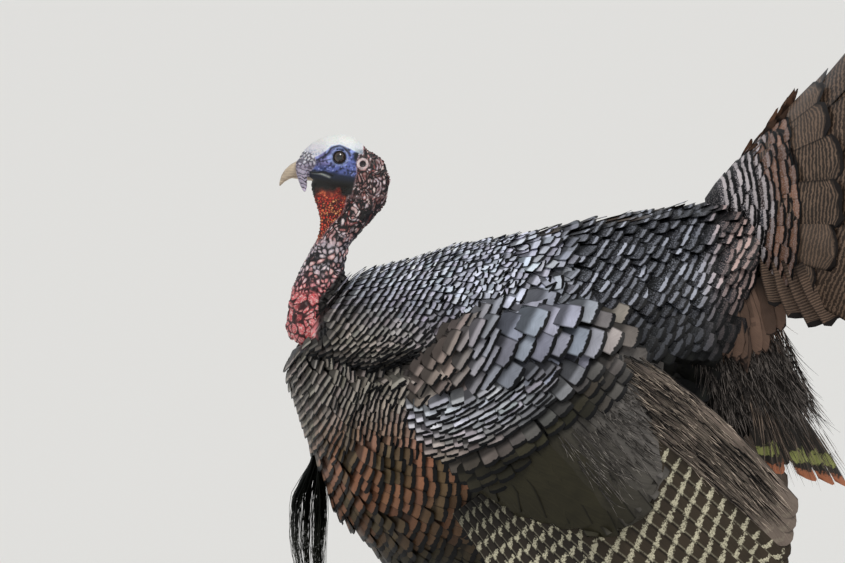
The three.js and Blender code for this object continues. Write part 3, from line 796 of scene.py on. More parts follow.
def row_ring(angle):
    """Points and normals down the left half of one row, from back to belly."""
    down = Vector((-np.cos(np.radians(angle)), 0, -np.sin(np.radians(angle))))
    back = trunk_tree.ray_cast(ROW_AXIS, down)[0]
    belly = trunk_tree.ray_cast(ROW_AXIS + down * 2.5, -down)[0]
    if back is None or (back - belly).length < 0.02:
        return None
    centre = (back + belly) / 2
    points, faces = [], []
    for turn in np.linspace(0.0, np.pi, RAYS):
        hit, normal, _, _ = trunk_tree.ray_cast(centre, -down * np.cos(turn) - Vector((0, np.sin(turn), 0)))
        if hit is None:
            return None
        points.append(hit)
        faces.append(normal)
    return swirled(np.array(points), np.array(faces))


def swirl(x, z):
    """How far the rows are drawn forwards or back: on the rump they lean back more, and before
    the wing they stand upright."""
    rump = 0.34 * (z - 0.64) * ease(-0.14, 0.0, x)
    breast = -0.052 * ease(0.34, 0.50, z) * ease(0.600, 0.515, z)
    return rump + breast * ease(-0.39, -0.22, x) * ease(0.02, -0.06, x)


def swirled(points, faces):
    moved = points + swirl(points[:, 0], points[:, 2])[:, None] * np.array([1.0, 0.0, 0.0])
    for k, point in enumerate(moved):
        points[k] = trunk_tree.find_nearest(Vector(point))[0]
        faces[k] = smooth_tree.find_nearest(Vector(point))[1]
    return points, faces


def along_ring(points, faces, gap, start):
    """Evenly spaced places along a row, with its direction, the normal and the share there."""
    run = np.concatenate([[0], np.cumsum(np.linalg.norm(np.diff(points, axis=0), axis=1))])
    count = max(3, int(round(run[-1] / gap)))
    wanted = (np.arange(count) + start) * run[-1] / count

    def at(far, values):
        return np.stack([np.interp(far, run, values[:, k]) for k in range(3)], axis=1)

    tangent = unit(at(wanted + 0.005, points) - at(wanted - 0.005, points))
    return at(wanted, points), tangent, unit(at(wanted, faces)), wanted / run[-1]


# How many rows a feather shows over, and how far apart such feathers are: on the mantle, the
# upper breast, the flanks and belly, and the rump.
ROW_KINDS = ((2, 0.0085), (2, 0.0125), (3, 0.0150), (4, 0.0165))


def row_kind(x, z):
    kind = np.where((x > -0.06) & (z > 0.555), 3, 2)
    kind = np.where((z > 0.44 + 0.012 * np.sin(60 * x)) & (x < -0.20), 1, kind)
    return np.where(inside(MANTLE, x, z), 0, kind)


def form_tree(nodes, rounds):
    """The melted form of some solids, only to be met by rays."""
    form = melted("form", nodes, COAT_GRAIN, rounds)
    tree = tree_of(form)
    bpy.data.objects.remove(form)
    return tree


wing_tree = form_tree(["wing_left"], 4)


def under_wing(place, flow):
    """True where the wing hides the whole feather."""
    for shift in (-0.01, 0.03, 0.06):
        spot = Vector(place + flow * shift) + Vector((0, -0.004, 0))
        if wing_tree.ray_cast(spot, Vector((0, -1, 0)), 0.12)[0] is None:
            return False
    return True


def full_length(shows):
    """Length of a body feather from what shows of it. The next rows hide the rest."""
    return 2.5 * shows + 0.005


rows = []
for row, angle in enumerate(np.arange(FIRST_ROW, LAST_ROW, ROW_STEP)):
    ring = row_ring(angle)
    if ring is None:
        continue
    for kind, (every, gap) in enumerate(ROW_KINDS):
        if row % every:
            continue
        place, tangent, face, share = along_ring(*ring, gap, 0.5 if (row // every) % 2 else 0.02)
        far = np.hypot(place[:, 0] - ROW_AXIS.x, place[:, 2] - ROW_AXIS.z)
        spacing = far * np.radians(ROW_STEP)
        x, z = place[:, 0], place[:, 2]
        spacing *= 1 + 500 * (swirl(x + 0.001, z) - swirl(x - 0.001, z))
        spacing = np.clip(spacing, 0.003, 0.0055)
        flow = unit(np.cross(tangent, face))
        flow *= np.sign(flow[:, 0].mean())
        for k in np.flatnonzero(row_kind(x, z) == kind):
            on_neck = z[k] > 0.565 and x[k] < np.interp(z[k], COLLAR_Z, COLLAR_X) + 0.008
            behind_wattles = x[k] < collar_x - 0.007 and z[k] > wattle_low.z - 0.003
            if on_neck or behind_wattles or under_wing(place[k], flow[k]):
                continue
            shows = spacing[k] * every
            ahead = smooth_tree.find_nearest(Vector(place[k] + flow[k] * full_length(shows)))[1]
            turned = np.arccos(np.clip(np.dot(face[k], ahead), -1, 1)) * np.sign(np.dot(ahead, flow[k]))
            turned = np.clip(turned, -0.5, 0.9)
            rows.append((*place[k], *flow[k], *face[k], gap, shows, row, share[k], turned, kind))
rows = np.array(rows)


def fold_shade(x, z):
    """Near 1 in the fold under the hackles."""
    return np.exp(-(to_line(FOLD, x, z - 0.006) / 0.012) ** 2)


def blend(share, first, second):
    return first * (1 - share[:, None]) + second * share[:, None]


def body_colours(x, y, z, count, band):
    """Tint of each contour feather, and its band and bars, by its place on the bird."""
    coppery = 0.85 * ease(-0.3, 0.9, ripple(np.stack([x, y, z], axis=1), 0.05, 61))
    copper = blend(coppery, rgb(142, 98, 74), rgb(88, 78, 54))
    tint = blend(ease(0.50, 0.42, z) * ease(-0.40, -0.33, x), rgb(142, 134, 126), copper)
    tint = blend(ease(0.42, 0.30, z), tint, rgb(44, 41, 28))
    # Painted reflection: the upper sides turn grey-blue and the back nearly white, the sky's sheen on the
    # glossy feathers.
    tint = blend(ease(0.55, 0.61, z + 0.25 * (x + 0.25)), tint, rgb(138, 138, 148))
    tint = blend(ease(0.590, 0.640, z + 0.12 * (x + 0.20)), tint, rgb(204, 208, 224))
    rump = ease(-0.105, -0.045, x) * ease(0.50, 0.56, z)
    tint = blend(rump, tint, rgb(38, 39, 43))
    on_ridge = ease(0.035, 0.01, np.abs(y)) * ease(0.10, 0.0, x)
    plain = (rng.random(count) < 0.40 * on_ridge) * (x > -0.12)
    tint = blend(plain, tint, rgb(70, 60, 54))
    tint = blend(ease(0.0, 0.10, x) * ease(0.52, 0.44, z), tint, rgb(40, 36, 32))
    tint = blend(0.9 * rump * ease(0.650, 0.595, z), tint, rgb(14, 15, 18))
    # Painted shade: the flank under the saddle's overhang, behind the wing, is nearly black.
    hollow_shade = ease(0.005, 0.03, x) * ease(0.572, 0.556, z)
    tint = blend(hollow_shade, tint, rgb(15, 16, 12))
    tint = blend(0.9 * fold_shade(x, z), tint, rgb(22, 21, 22))
    chest = ease(-0.18, -0.24, x) * ease(0.36, 0.44, z)
    tint = tint * (1 + 0.18 * chest)[:, None]
    uneven = 1 - 0.5 * ease(0.50, 0.46, z)
    tint = tint * (1 + uneven * rng.uniform(-0.42, 0.35, count))[:, None]
    tint = tint * (1 + 0.022 * rng.standard_normal((count, 3)))
    barred = rump * (1 - 0.85 * ease(0.650, 0.590, z)) * (1 - hollow_shade)
    mark = np.zeros((count, 4))
    mark[:, 0] = band + 0.045 * rump - (0.030 * ease(0.46, 0.42, z) + 0.035 * chest)
    mark[:, 1] = 0.11
    mark[:, 2] = 0.26 * barred * (1 - plain)
    mark[:, 3] = barred * (1 - 0.5 * plain) * rng.uniform(0.1, 1.0, count) ** 1.5
    return np.clip(tint, 0, 1), mark, plain * (1 - hollow_shade)


MIRROR = np.array([1.0, -1.0, 1.0])


def both_sides():
    """Each side's name, its sign along Y, and what turns the left side's shapes into its own."""
    for side, sign in SIDES.items():
        yield side, sign, MIRROR if sign > 0 else np.ones(3)


PATCH_ROWS = 168
for side, sign, flip in both_sides():
    for part, chosen, band in (("fine", rows[:, -1] < 2, 0.85), ("broad", rows[:, -1] > 1, 0.87)):
        some = rows[chosen]
        count = len(some)
        x, y, z = some[:, :3].T
        gap, shows, row, share, bend, _ = some[:, 9:].T
        hem = ease(0.0, 0.05, x) * ease(0.550, 0.562, z) * ease(0.600, 0.580, z)
        bend = np.where(x > 0.08, np.minimum(bend, 0.45), bend) * (1 - hem)
        length = full_length(shows) * rng.uniform(0.95, 1.06, count) * (1 + 0.35 * hem)
        front = ease(-0.345, -0.372, x) * ease(0.40, 0.46, z)
        length *= 1 - 0.40 * front
        depth = 0.14 * length
        face = some[:, 6:9] * flip
        root = some[:, :3] * flip - face * depth[:, None]
        along = some[:, 3:6] * flip + 0.035 * rng.standard_normal((count, 3))
        across_row = np.cross(face, along)
        tint, mark, plain = body_colours(x, y, z, count, band)
        messy = 0.25 + 0.75 * ease(-0.30, -0.15, x) * ease(0.56, 0.60, z) * ease(-0.01, -0.08, x)
        length *= 1 + 0.7 * plain
        root += face * (0.0025 * plain * ease(0.02, 0.05, np.abs(y)))[:, None]
        mark[:, 0] += messy * rng.uniform(-0.05, 0.04, count) + 0.08 * plain
        along = along + across_row * (0.22 * messy * rng.standard_normal(count))[:, None]
        lift = np.arcsin((depth + 0.0012) / length) + bend * 0.5 + 0.12 * hem - 0.10 * front
        length = length * (1 + 0.10 * messy * rng.standard_normal(count))
        width = gap * rng.uniform(1.15, 1.45, count) * (1 - 0.25 * plain)
        roll = sign * 0.05 + 0.04 * rng.standard_normal(count)
        patch = np.stack([0.02 + 0.96 * row / PATCH_ROWS, 0.02 + 0.96 * share], axis=1)
        vanes(f"body_feathers_{part}_{side}", root, along, face, length, width, contour, "plumage", lift=lift,
              bend=bend, roll=roll, small=part == "fine", tint=tint, mark=mark, patch=patch)

# The first feathers lie round the foot of the bare neck, short and dark.
skin_tree = tree_of(skin)
COLLAR_ROWS, COLLAR_STEP, COLLAR_GAP = 6, 0.0042, 0.0058
line = np.array([(x, 0.0, z) for x, z in COLLAR])
run = np.concatenate([[0], np.cumsum(np.linalg.norm(np.diff(line, axis=0), axis=1))])


def on_collar(far):
    """The place on the collar's line at a distance along it."""
    return np.array([np.interp(far, run, line[:, 0]), 0.0, np.interp(far, run, line[:, 2])])


found = []
for row in range(COLLAR_ROWS):
    for far in np.arange(0.5 * (row % 2), run[-1] / COLLAR_GAP, 1.0) * COLLAR_GAP:
        ahead = unit(on_collar(far + 0.004) - on_collar(far))
        away = np.array([-ahead[2], 0.0, ahead[0]])
        spot = on_collar(far) + away * (COLLAR_STEP * row + rng.uniform(-0.001, 0.001))
        hit, normal = skin_tree.ray_cast(Vector((spot[0], -0.3, spot[2])), Vector((0, 1, 0)))[:2]
        if hit is None or hit.y > -0.001:
            continue
        normal = np.array(normal)
        found.append((*hit, *unit(away - normal * (away @ normal)), *normal, row, far))
found = np.array(found)
row, far = found[:, 9:].T
for side, sign, flip in both_sides():
    count = len(found)
    place, along, face = found[:, :3] * flip, found[:, 3:6] * flip, found[:, 6:9] * flip
    # Painted shade: the rows nearest the bare neck are the darkest.
    tint = rgb(74, 70, 68) * (0.5 + 0.16 * row[:, None]) * rng.uniform(0.6, 1.4, (count, 1))
    patch = np.stack([0.03 + 0.94 * row / COLLAR_ROWS, 0.03 + 0.94 * far / run[-1]], axis=1)
    vanes(f"collar_feathers_{side}", place - face * 0.0012, along, face, rng.uniform(0.0115, 0.0140, count),
          rng.uniform(0.0062, 0.0082, count), contour, "plumage", lift=0.20, bend=0.15, small=True, tint=tint,
          mark=(0.78, 0, 0, 0), patch=patch)


# ---------------------------------------------------------------- wing coverts
# Small feathers over the arm of each wing, in arcs that widen from the shoulder: broad slates at
# the top, slivers on the fore-wing, then the greater coverts, which end in a hem over the quills.
drape_tree = form_tree(["trunk", "wing_left"], 26)


def on_drape(x, z):
    """The place and outward normal of the left wing's side at x, z."""
    hit, normal, _, _ = drape_tree.ray_cast(Vector((x, -0.45, z)), Vector((0, 1, 0)))
    return (None, None) if hit is None or hit.y > -0.02 else (np.array(hit), np.array(normal))


ARCS_DEPTH = 0.27


def arc_rows(centre, start, step, turns, gaps, spans, stretch):
    """Places, flow and spacing of feathers in arcs about a centre. spans says how many arcs the
    feather at x, z shows over, 0 for none, and gaps how far apart such feathers are."""
    found = []
    for row in range(int(ARCS_DEPTH / step)):
        reach = start + row * step
        places = [(k + 0.5 * (row // every % 2) + rng.uniform(-0.12, 0.12), every, gap)
                  for every, gap in gaps if row % every == 0
                  for k in range(int((turns[1] - turns[0]) * reach / gap))]
        for k, every, gap in places:
            turn = turns[0] + k * gap / reach
            shows = every * step
            x, z = centre[0] + reach * np.sin(turn), centre[1] - reach * np.cos(turn)
            if spans(x, z, reach) != every:
                continue
            place, normal = on_drape(x, z)
            if place is None:
                continue
            flow = unit(np.array([np.sin(turn), 0, -np.cos(turn)]))
            flow = unit(flow - normal * (flow @ normal))
            length = stretch * shows + 0.006
            ahead = on_drape(*(place + flow * length)[[0, 2]])[1]
            turned = 0.0
            if ahead is not None:
                turned = np.arccos(np.clip(normal @ ahead, -1, 1)) * np.sign(ahead @ flow)
            found.append((*place, *flow, *normal, gap, shows, reach, np.clip(turned, -0.4, 0.7), stretch))
    return np.array(found)


def edge_gaps(outline):
    """Distance of each covert from an outline's edge."""
    return np.array([to_line(outline + outline[:1], np.array([a]), np.array([b]))[0] for a, b in zip(x, z)])


SHOULDER = (-0.287, 0.722)
# The scapulars hang over the top of the arm in a band of their own, in nearly straight rows.
SCAPULARS = [(-0.239, 0.542), (-0.221, 0.568), (-0.167, 0.602), (-0.107, 0.622), (-0.059, 0.618),
             (-0.011, 0.604), (0.006, 0.582), (-0.011, 0.560), (-0.047, 0.548), (-0.095, 0.542),
             (-0.143, 0.524), (-0.191, 0.508), (-0.233, 0.500)]
COVERT_STRETCH, SCAPULAR_STRETCH = 2.4, 2.2


def covert_spans(x, z, reach):
    hang = 1 + 0.034 * ease(-0.15, -0.07, x) / reach
    tip = (SHOULDER[0] + (x - SHOULDER[0]) * hang, SHOULDER[1] + (z - SHOULDER[1]) * hang)
    if not inside(COVERTS, x, z) or not inside(COVERTS, *tip) or inside(SCAPULARS, x, z):
        return 0
    if reach < 0.300 and x < -0.095 + 0.25 * (z - 0.45):
        return 1
    return 2 if reach < 0.338 else 3


def scapular_spans(x, z, _):
    return (1 if x < -0.150 else 2) * int(inside(SCAPULARS, x, z))


coverts = arc_rows(SHOULDER, 0.14, 0.0058, (0.03, 1.39), ((1, 0.0190), (2, 0.0185), (3, 0.0210)),
                   covert_spans, COVERT_STRETCH)
scapulars = arc_rows((-1.530, 1.315), 1.46, 0.0082, (0.88, 1.20), ((1, 0.0290), (2, 0.0290)),
                     scapular_spans, SCAPULAR_STRETCH)
coverts = np.concatenate([coverts, scapulars])
x, z = coverts[:, 0], coverts[:, 2]
gap, shows, reach, bend, stretch = coverts[:, 9:].T
top = stretch < COVERT_STRETCH
stand = np.where(top, 1.2 * ease(-0.002, 0.016, edge_gaps(SCAPULARS)), ease(0.0, 0.022, edge_gaps(COVERTS)))
covert_material = plumage("wing_coverts", gloss=0.45, metal=0.15)
scapular_material = plumage("scapulars", gloss=0.45, metal=0.15, wobble=0.16, root=(0.40, 0.64))
for side, sign, flip in both_sides():
    count = len(coverts)
    length = (stretch * shows + 0.006) * rng.uniform(0.92, 1.1, count)
    face = coverts[:, 6:9] * flip
    depth = 0.13 * length
    root = coverts[:, :3] * flip + face * (0.003 + 0.006 * stand - depth)[:, None]
    along = coverts[:, 3:6] * flip + 0.05 * rng.standard_normal((count, 3))
    # Painted reflection: the pale grey-blue of the coverts and of the scapulars stands for the sky's sheen on
    # their gloss.
    tint = np.tile(rgb(196, 198, 206), (count, 1))
    tint = blend(0.85 * ease(-0.18, -0.08, x), tint, rgb(104, 104, 110))
    tint = blend(0.75 * ease(0.49, 0.44, z), tint, rgb(182, 158, 142))
    tint = blend(ease(0.285, 0.310, reach) * ease(0.03, -0.03, x) * (1 - top), tint, rgb(46, 43, 31))
    tint = blend(0.8 * ease(-0.06, -0.01, x), tint, rgb(72, 68, 66))
    tint = blend(top, tint, rgb(148, 152, 165))
    tint = blend(top * ease(-0.14, -0.20, x), tint, rgb(146, 132, 124))
    tint = blend(top * ease(-0.06, -0.02, x), tint, rgb(128, 118, 112))
    uneven = np.where(top, 0.35, 0.45)
    tint = tint * (1 + uneven * rng.uniform(-1, 0.9, count))[:, None]
    tint = np.clip(tint * (1 + 0.02 * rng.standard_normal((count, 3))), 0, 1)
    mark = np.zeros((count, 4))
    mark[:, 0] = np.interp(shows, [0.006, 0.012, 0.017], [0.82, 0.86, 0.885])
    patch = np.stack([0.03 + 0.94 * (x + 0.25) / 0.31, 0.03 + 0.94 * (z - 0.40) / 0.24], axis=1)
    width = gap * rng.uniform(1.1, 1.35, count)
    lift = np.arcsin((depth + 0.0016) / length) + bend * 0.5
    roll = sign * 0.06 + 0.06 * rng.standard_normal(count)
    for title, some, coat in (("wing_coverts", ~top, covert_material), ("scapulars", top, scapular_material)):
        vanes(f"{title}_{side}", root[some], along[some], face[some], length[some], width[some], coat,
              "plumage", lift=lift[some], bend=bend[some], waist=0.85, roll=roll[some], tint=tint[some],
              mark=mark[some], patch=patch[some])


# ---------------------------------------------------------------- quills of the wing
# Long stiff flight feathers, each with a shaft between two vanes, lying like a closed fan from
# the elbow and the wrist back past the thigh. Cream bars cross the vanes.
LONG = np.array([0, 0.1, 0.22, 0.36, 0.5, 0.62, 0.73, 0.82, 0.89, 0.94, 0.975, 1.0])
QUILL_THICKNESS = 0.0008


def tints(colour, count, low, high, power=1):
    """A tint for each feather, between two shares of a colour."""
    return rgb(*colour) * rng.uniform(low, high, (count, 1)) ** power


def quills(name, path, width, face, material, slot, *, rise=0.0012, curl=0.10, tip=0.35, waist=0.45,
           taper=0.1, overlap=0.0, ragged=0.012, outer=1, **marks):
    """Long feathers along given paths, count x LONG x 3. width is the whole vane's, and tip how
    far its corners are cut back, as a share of the width. outer tells which vane is the outer."""
    count = len(path)
    v = LONG[None, :, None]
    across = np.linspace(-1, 1, 7)
    u = across[None, None, :]
    forward = unit(np.gradient(path, axis=1))
    face = unit(face - forward * (face * forward).sum(-1, keepdims=True))
    side = np.cross(face, forward)
    broad = fill(width, count)[:, None, None] / 2 * (waist + (1 - waist) * ease(0.0, 0.35, v))
    broad = broad * (1 - taper * ease(0.6, 1.0, v))
    frayed = ragged * rng.standard_normal((count, len(LONG), len(across))) - tip * np.abs(u) ** 2.2
    push = fill(width, count)[:, None, None] * frayed * ease(0.78, 1.0, v)
    raised = rise * (1 - np.abs(u)) - curl * broad * u * u + overlap * u * broad
    net = (path[:, :, None] + (broad * u)[..., None] * side[:, :, None]
           + raised[..., None] * face[:, :, None] + push[..., None] * forward[:, :, None])
    patch = np.stack([(np.arange(count) + 0.5) / count, np.full(count, 0.5)], axis=1)
    return feather_mesh(name, net, face[:, 1:-1], QUILL_THICKNESS, material, slot, (across * outer, LONG),
                        patch=patch, cell=(0.9 / count, 0.9), **marks)


def wing_paths(count, inner_root, inner_tip, outer_root, outer_tip, depth, round_, bow):
    """Feather paths from an inner one to an outer one, as the wing's solids have them."""
    share = ((np.arange(count) + 0.5) / count)[:, None, None]
    far = LONG[None, :, None]
    inner = inner_root + (inner_tip - inner_root) * far
    outer = outer_root + (outer_tip - outer_root) * far
    path = inner + (outer - inner) * share
    path[..., 1] += (depth * share - round_ * np.sin(np.pi * far))[..., 0]
    path[..., 2] += (bow * np.sin(np.pi * far) * (1 - share))[..., 0]
    return path


# Wings and tail are laid out in the part's own sizes, and SHIFT along X takes them to the frame,
# whose origin is under the middle of the bird's length.
SHIFT = -0.05856
SECONDARIES, PRIMARIES = 12, 9
ELBOW = np.array([0.078 + SHIFT, -0.171, 0.548])
WRIST = np.array([-0.062 + SHIFT, -0.171, 0.398])
STEP_IN = np.array([0, 0.0006, 0])
secondary_path = wing_paths(SECONDARIES, ELBOW, np.array([0.278 + SHIFT, -0.152, 0.366]), WRIST,
                            np.array([0.246 + SHIFT, -0.158, 0.166]), 0.009, 0.008, 0.016)
secondary_path += np.array([0, -0.004, 0]) + np.arange(SECONDARIES)[:, None, None] * STEP_IN
primary_path = wing_paths(PRIMARIES, WRIST + np.array([0, 0.010, 0.012]),
                          np.array([0.232 + SHIFT, -0.149, 0.172]), WRIST + np.array([-0.066, 0.010, -0.038]),
                          np.array([0.104 + SHIFT, -0.158, 0.052]), 0.007, 0.006, 0.0)
primary_path += np.arange(PRIMARIES)[:, None, None] * STEP_IN
quill_material = plumage("flight_feathers", gloss=0.45, metal=0.08, barbs=160.0, wobble=0.02,
                         pale=(196, 190, 164), skew=-0.03, wedge=1.3, root=(0.0, 0.2))
for side, sign, flip in both_sides():
    path = secondary_path * flip
    tint = tints((52, 44, 34), SECONDARIES, 0.9, 1.15)
    tint[:3] = rgb(112, 100, 91)
    mark = np.tile([1.2, 0.85, 0.9, 0.0], (SECONDARIES, 1))
    mark[:, 1] += rng.uniform(-0.008, 0.008, SECONDARIES)
    mark[:3, 2] = 0.1
    inner = quills(f"secondary_quills_{side}", path, 0.034, np.broadcast_to([0.0, sign, 0.0], path.shape),
                   quill_material, "flight_feathers", overlap=0.16 * sign, outer=sign, tint=tint, mark=mark)
    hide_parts(f"secondaries_{side}")
    path = primary_path * flip
    outer = quills(f"primary_quills_{side}", path, 0.030, np.broadcast_to([0.0, sign, 0.0], path.shape),
                   quill_material, "flight_feathers", tip=0.6, taper=0.4, overlap=0.16 * sign, outer=sign,
                   tint=tints((44, 38, 32), PRIMARIES, 0.9, 1.1), mark=(1.2, 1.05, 0.95, 0.0))
    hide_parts(f"primaries_{side}")


# ---------------------------------------------------------------- soft panel of the wing
# Broad soft feathers hang from under the greater coverts over the roots of the quills. They are
# smooth and dark, with loose pale barbs towards the tail.
PANEL_TURN = np.radians([20, 23, 26.5, 34, 44, 50, 55.6, 61])
PANEL_REACH = np.array([0.385, 0.404, 0.441, 0.470, 0.490, 0.472, 0.433, 0.385])
NO_BAND = (1.2, 0, 0, 0)
panel_material = plumage("wing_panel", gloss=0.5, metal=0.12, barbs=30.0, root=(0.0, 0.1))
count = 15
found = []
for turn in np.radians(np.linspace(22.5, 60.0, count)):
    ray = np.array([np.sin(turn), 0, -np.cos(turn)])
    start, finish = 0.340, np.interp(turn, PANEL_TURN, PANEL_REACH) + 0.004
    points, faces = [], []
    for reach in start + (finish - start) * LONG:
        place, normal = on_drape(SHOULDER[0] + reach * ray[0], SHOULDER[1] + reach * ray[2])
        if place is None:
            place = points[-1] + ray * (finish - start) * 0.05 + np.array([0, 0.001, 0])
            normal = faces[-1]
        points.append(place)
        faces.append(normal)
    found.append((points, faces))
panel_path = np.array([points for points, _ in found])
panel_face = unit(np.array([faces for _, faces in found]))
for side, sign, flip in both_sides():
    tint = blend(ease(0.35, 0.85, np.linspace(0, 1, count)), rgb(40, 37, 24), rgb(104, 100, 97))
    quills(f"wing_panel_{side}", (panel_path + panel_face * 0.0045) * flip, 0.044, panel_face * flip,
           panel_material, "plumage", rise=0.0006, curl=0.10, tip=0.4, overlap=-0.06 * sign, tint=tint,
           mark=NO_BAND)


STRAND_THICKNESS = 0.0003


def strands(name, path, width, material, slot, *, face, **marks):
    """Loose barbs or bristles along given paths, each a thin three-sided closed strip."""
    count, stations, _ = path.shape
    forward = unit(np.gradient(path, axis=1))
    side = unit(np.cross(forward, face))
    up = np.cross(side, forward)
    broad = fill(width, count)[:, None, None] * np.linspace(1, 0.12, stations)[None, :, None] / 2
    net = np.stack([path - side * broad, path + up * broad * 0.8, path + side * broad], axis=2)
    return feather_mesh(name, net, np.broadcast_to(up[:, 1:-1], path[:, 1:-1].shape), STRAND_THICKNESS,
                        material, slot, (np.array([-1.0, 0.0, 1.0]), np.linspace(0, 1, stations)), **marks)


def along_quill(path, far):
    """Places at shares of a feather's length."""
    return np.stack([np.interp(far, LONG, path[:, axis]) for axis in range(3)], axis=1)


barb_material = plumage("loose_barbs", gloss=0.6, metal=0.05)
count, stations = 340, 6
bow = np.sin(np.linspace(0, np.pi, stations))
far = np.linspace(0, 1, stations)
along_panel = rng.uniform(0.45, 1.0, count)
down_panel = rng.uniform(0.05, 0.72, count)
base = np.empty((count, stations, 3))
up = np.empty((count, 3))
for k in range(count):
    place = along_panel[k] * (len(panel_path) - 1)
    i = int(min(place, len(panel_path) - 2))
    part = place - i
    stretch = down_panel[k] + np.linspace(0, rng.uniform(0.10, 0.26), stations)
    first, second = along_quill(panel_path[i], stretch), along_quill(panel_path[i + 1], stretch)
    base[k] = first * (1 - part) + second * part
    up[k] = panel_face[i, 5]
    sideways = unit(np.cross(base[k, -1] - base[k, 0], up[k]))
    base[k] += sideways * (rng.normal(0, 0.004) * far ** 2)[:, None]
    base[k] += up[k] * (0.006 + 0.004 * bow * rng.uniform(0, 1))[:, None]
for side, sign, flip in both_sides():
    strands(f"loose_barbs_{side}", base * flip, 0.0013, barb_material, "plumage",
            face=np.repeat((up * flip)[:, None], stations, axis=1),
            tint=tints((134, 128, 122), count, 0.3, 1.3), mark=NO_BAND,
            patch=np.stack([along_panel, down_panel], axis=1))

# Long loose barbs also streak the innermost quills.
count = 520
across_quills, start = rng.uniform(-1.1, 3.0, count), rng.uniform(0.0, 0.84, count)
streak = np.empty((count, stations, 3))
for k in range(count):
    stretch = start[k] + np.linspace(0, rng.uniform(0.08, 0.18), stations)
    lower = int(np.clip(across_quills[k], 0, 2))
    first, second = (along_quill(secondary_path[i], stretch) for i in (lower, lower + 1))
    streak[k] = first + (second - first) * (across_quills[k] - lower)
streak += far[None, :, None] ** 2 * rng.normal(0, 0.003, (count, 1, 3)) * [1, 0, 1]
streak[..., 1] -= 0.0042 + 0.002 * rng.uniform(0, 1, (count, 1)) * bow
for side, sign, flip in both_sides():
    tint = np.where(rng.random(count)[:, None] < 0.40, rgb(26, 22, 20), rgb(186, 170, 154))
    tint = tint * rng.uniform(0.4, 1.3, (count, 1))
    strands(f"quill_barbs_{side}", streak * flip, 0.0014, barb_material, "flight_feathers",
            face=np.tile([0.0, sign, 0.0], (count, stations, 1)), tint=tint, mark=NO_BAND,
            patch=np.stack([across_quills / 4 + 0.1, start], axis=1))


# ---------------------------------------------------------------- tail
# Eighteen tail feathers in a half-open fan that droops at its sides like a roof, with three
# layers of coverts over their roots. They are brown with fine wavy bars and chestnut tips.
def fan_frame(angle, lift, spread, droop):
    """Direction and upper face of a fan at angles, in degrees, from its middle feather."""
    lift = np.radians(lift)
    middle = np.array([np.cos(lift), 0, np.sin(lift)])
    upward = np.array([-np.sin(lift), 0, np.cos(lift)])

    def ray(turn):
        fall = np.radians(droop) * np.minimum(1, np.abs(turn) / spread)
        turn = np.radians(turn)
        return unit(np.cos(turn)[:, None] * middle + (np.sin(turn) * np.cos(fall))[:, None] * [0, 1, 0]
                    - (np.abs(np.sin(turn)) * np.sin(fall))[:, None] * upward)

    along = ray(angle)
    return along, unit(np.cross(along, unit(ray(angle + 1) - ray(angle - 1))))


def fan_paths(root, angle, length, rise, inset, arch=0.0, **frame_sizes):
    """Feather paths and faces of a fan, with a slight arch upwards."""
    along, face = fan_frame(angle, **frame_sizes)
    far = LONG[None, :, None]
    reach = inset + fill(length, len(angle))[:, None, None] * far
    path = root + along[:, None] * reach
    lift = fill(rise, len(angle))[:, None, None] + arch * np.sin(np.pi * far)
    return path + face[:, None] * lift, np.repeat(face[:, None], len(LONG), axis=1)


TAIL_ROOT = np.array([0.182 + SHIFT, 0.0, 0.704])
TAIL_FRAME = dict(lift=50, spread=84, droop=52)
COVERTS_FRAME = dict(lift=50, spread=88, droop=56)
OUTERMOST = 80.5
tail_material = plumage("tail_feathers", gloss=0.42, metal=0.1, barbs=120.0, wobble=0.025,
                        pale=(136, 112, 94), skew=-0.05, root=(0.0, 0.3))
count = 18
number = np.arange(count)
angle = np.linspace(-OUTERMOST, OUTERMOST, count)
off = np.abs(angle) / TAIL_FRAME["spread"]
path, face = fan_paths(TAIL_ROOT, angle, 0.383 - 0.035 * off ** 2, 0.0006 * number[::-1] % 0.0012, 0.008,
                       **TAIL_FRAME)
path = path + face * np.where(number % 2, 0.0012, -0.0012)[:, None, None]
tail = quills("tail_feathers", path, 0.072, face, tail_material, "tail_feathers",
              tint=tints((58, 47, 40), count, 0.88, 1.12), edge=rgb(118, 74, 48), mark=(0.945, 2.6, 0.6, 0.0),
              rise=0.002, curl=0.03, tip=0.16, waist=0.28, taper=0.0, overlap=0.03)
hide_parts("tail_fan")

layers = (("long", 13, 0.208, 0.0075, 0.058, (68, 58, 51), 1.9),
          ("middle", 15, 0.150, 0.0105, 0.046, (62, 55, 52), 1.4))
for title, count, length, rise, width, colour, bars in layers:
    angle = np.linspace(-84, 84, count) + rng.normal(0, 0.8, count)
    off = np.abs(angle) / COVERTS_FRAME["spread"]
    path, face = fan_paths(TAIL_ROOT, angle, length * (1 - 0.1 * off ** 2) * rng.uniform(0.93, 1.06, count),
                           rise + 0.0018 * (np.arange(count) % 3 - 1), 0.006, arch=0.003, **COVERTS_FRAME)
    quills(f"tail_coverts_{title}", path, width, face, tail_material, "saddle_feathers",
                         tint=tints(colour, count, 0.55, 1.5), edge=rgb(26, 20, 18),
                         mark=(0.965, bars, 0.62, 0.0), rise=0.0016, curl=0.05, tip=0.22, taper=0.0,
                         waist=0.4, overlap=0.05, ragged=0.03)
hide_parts("tail_coverts")

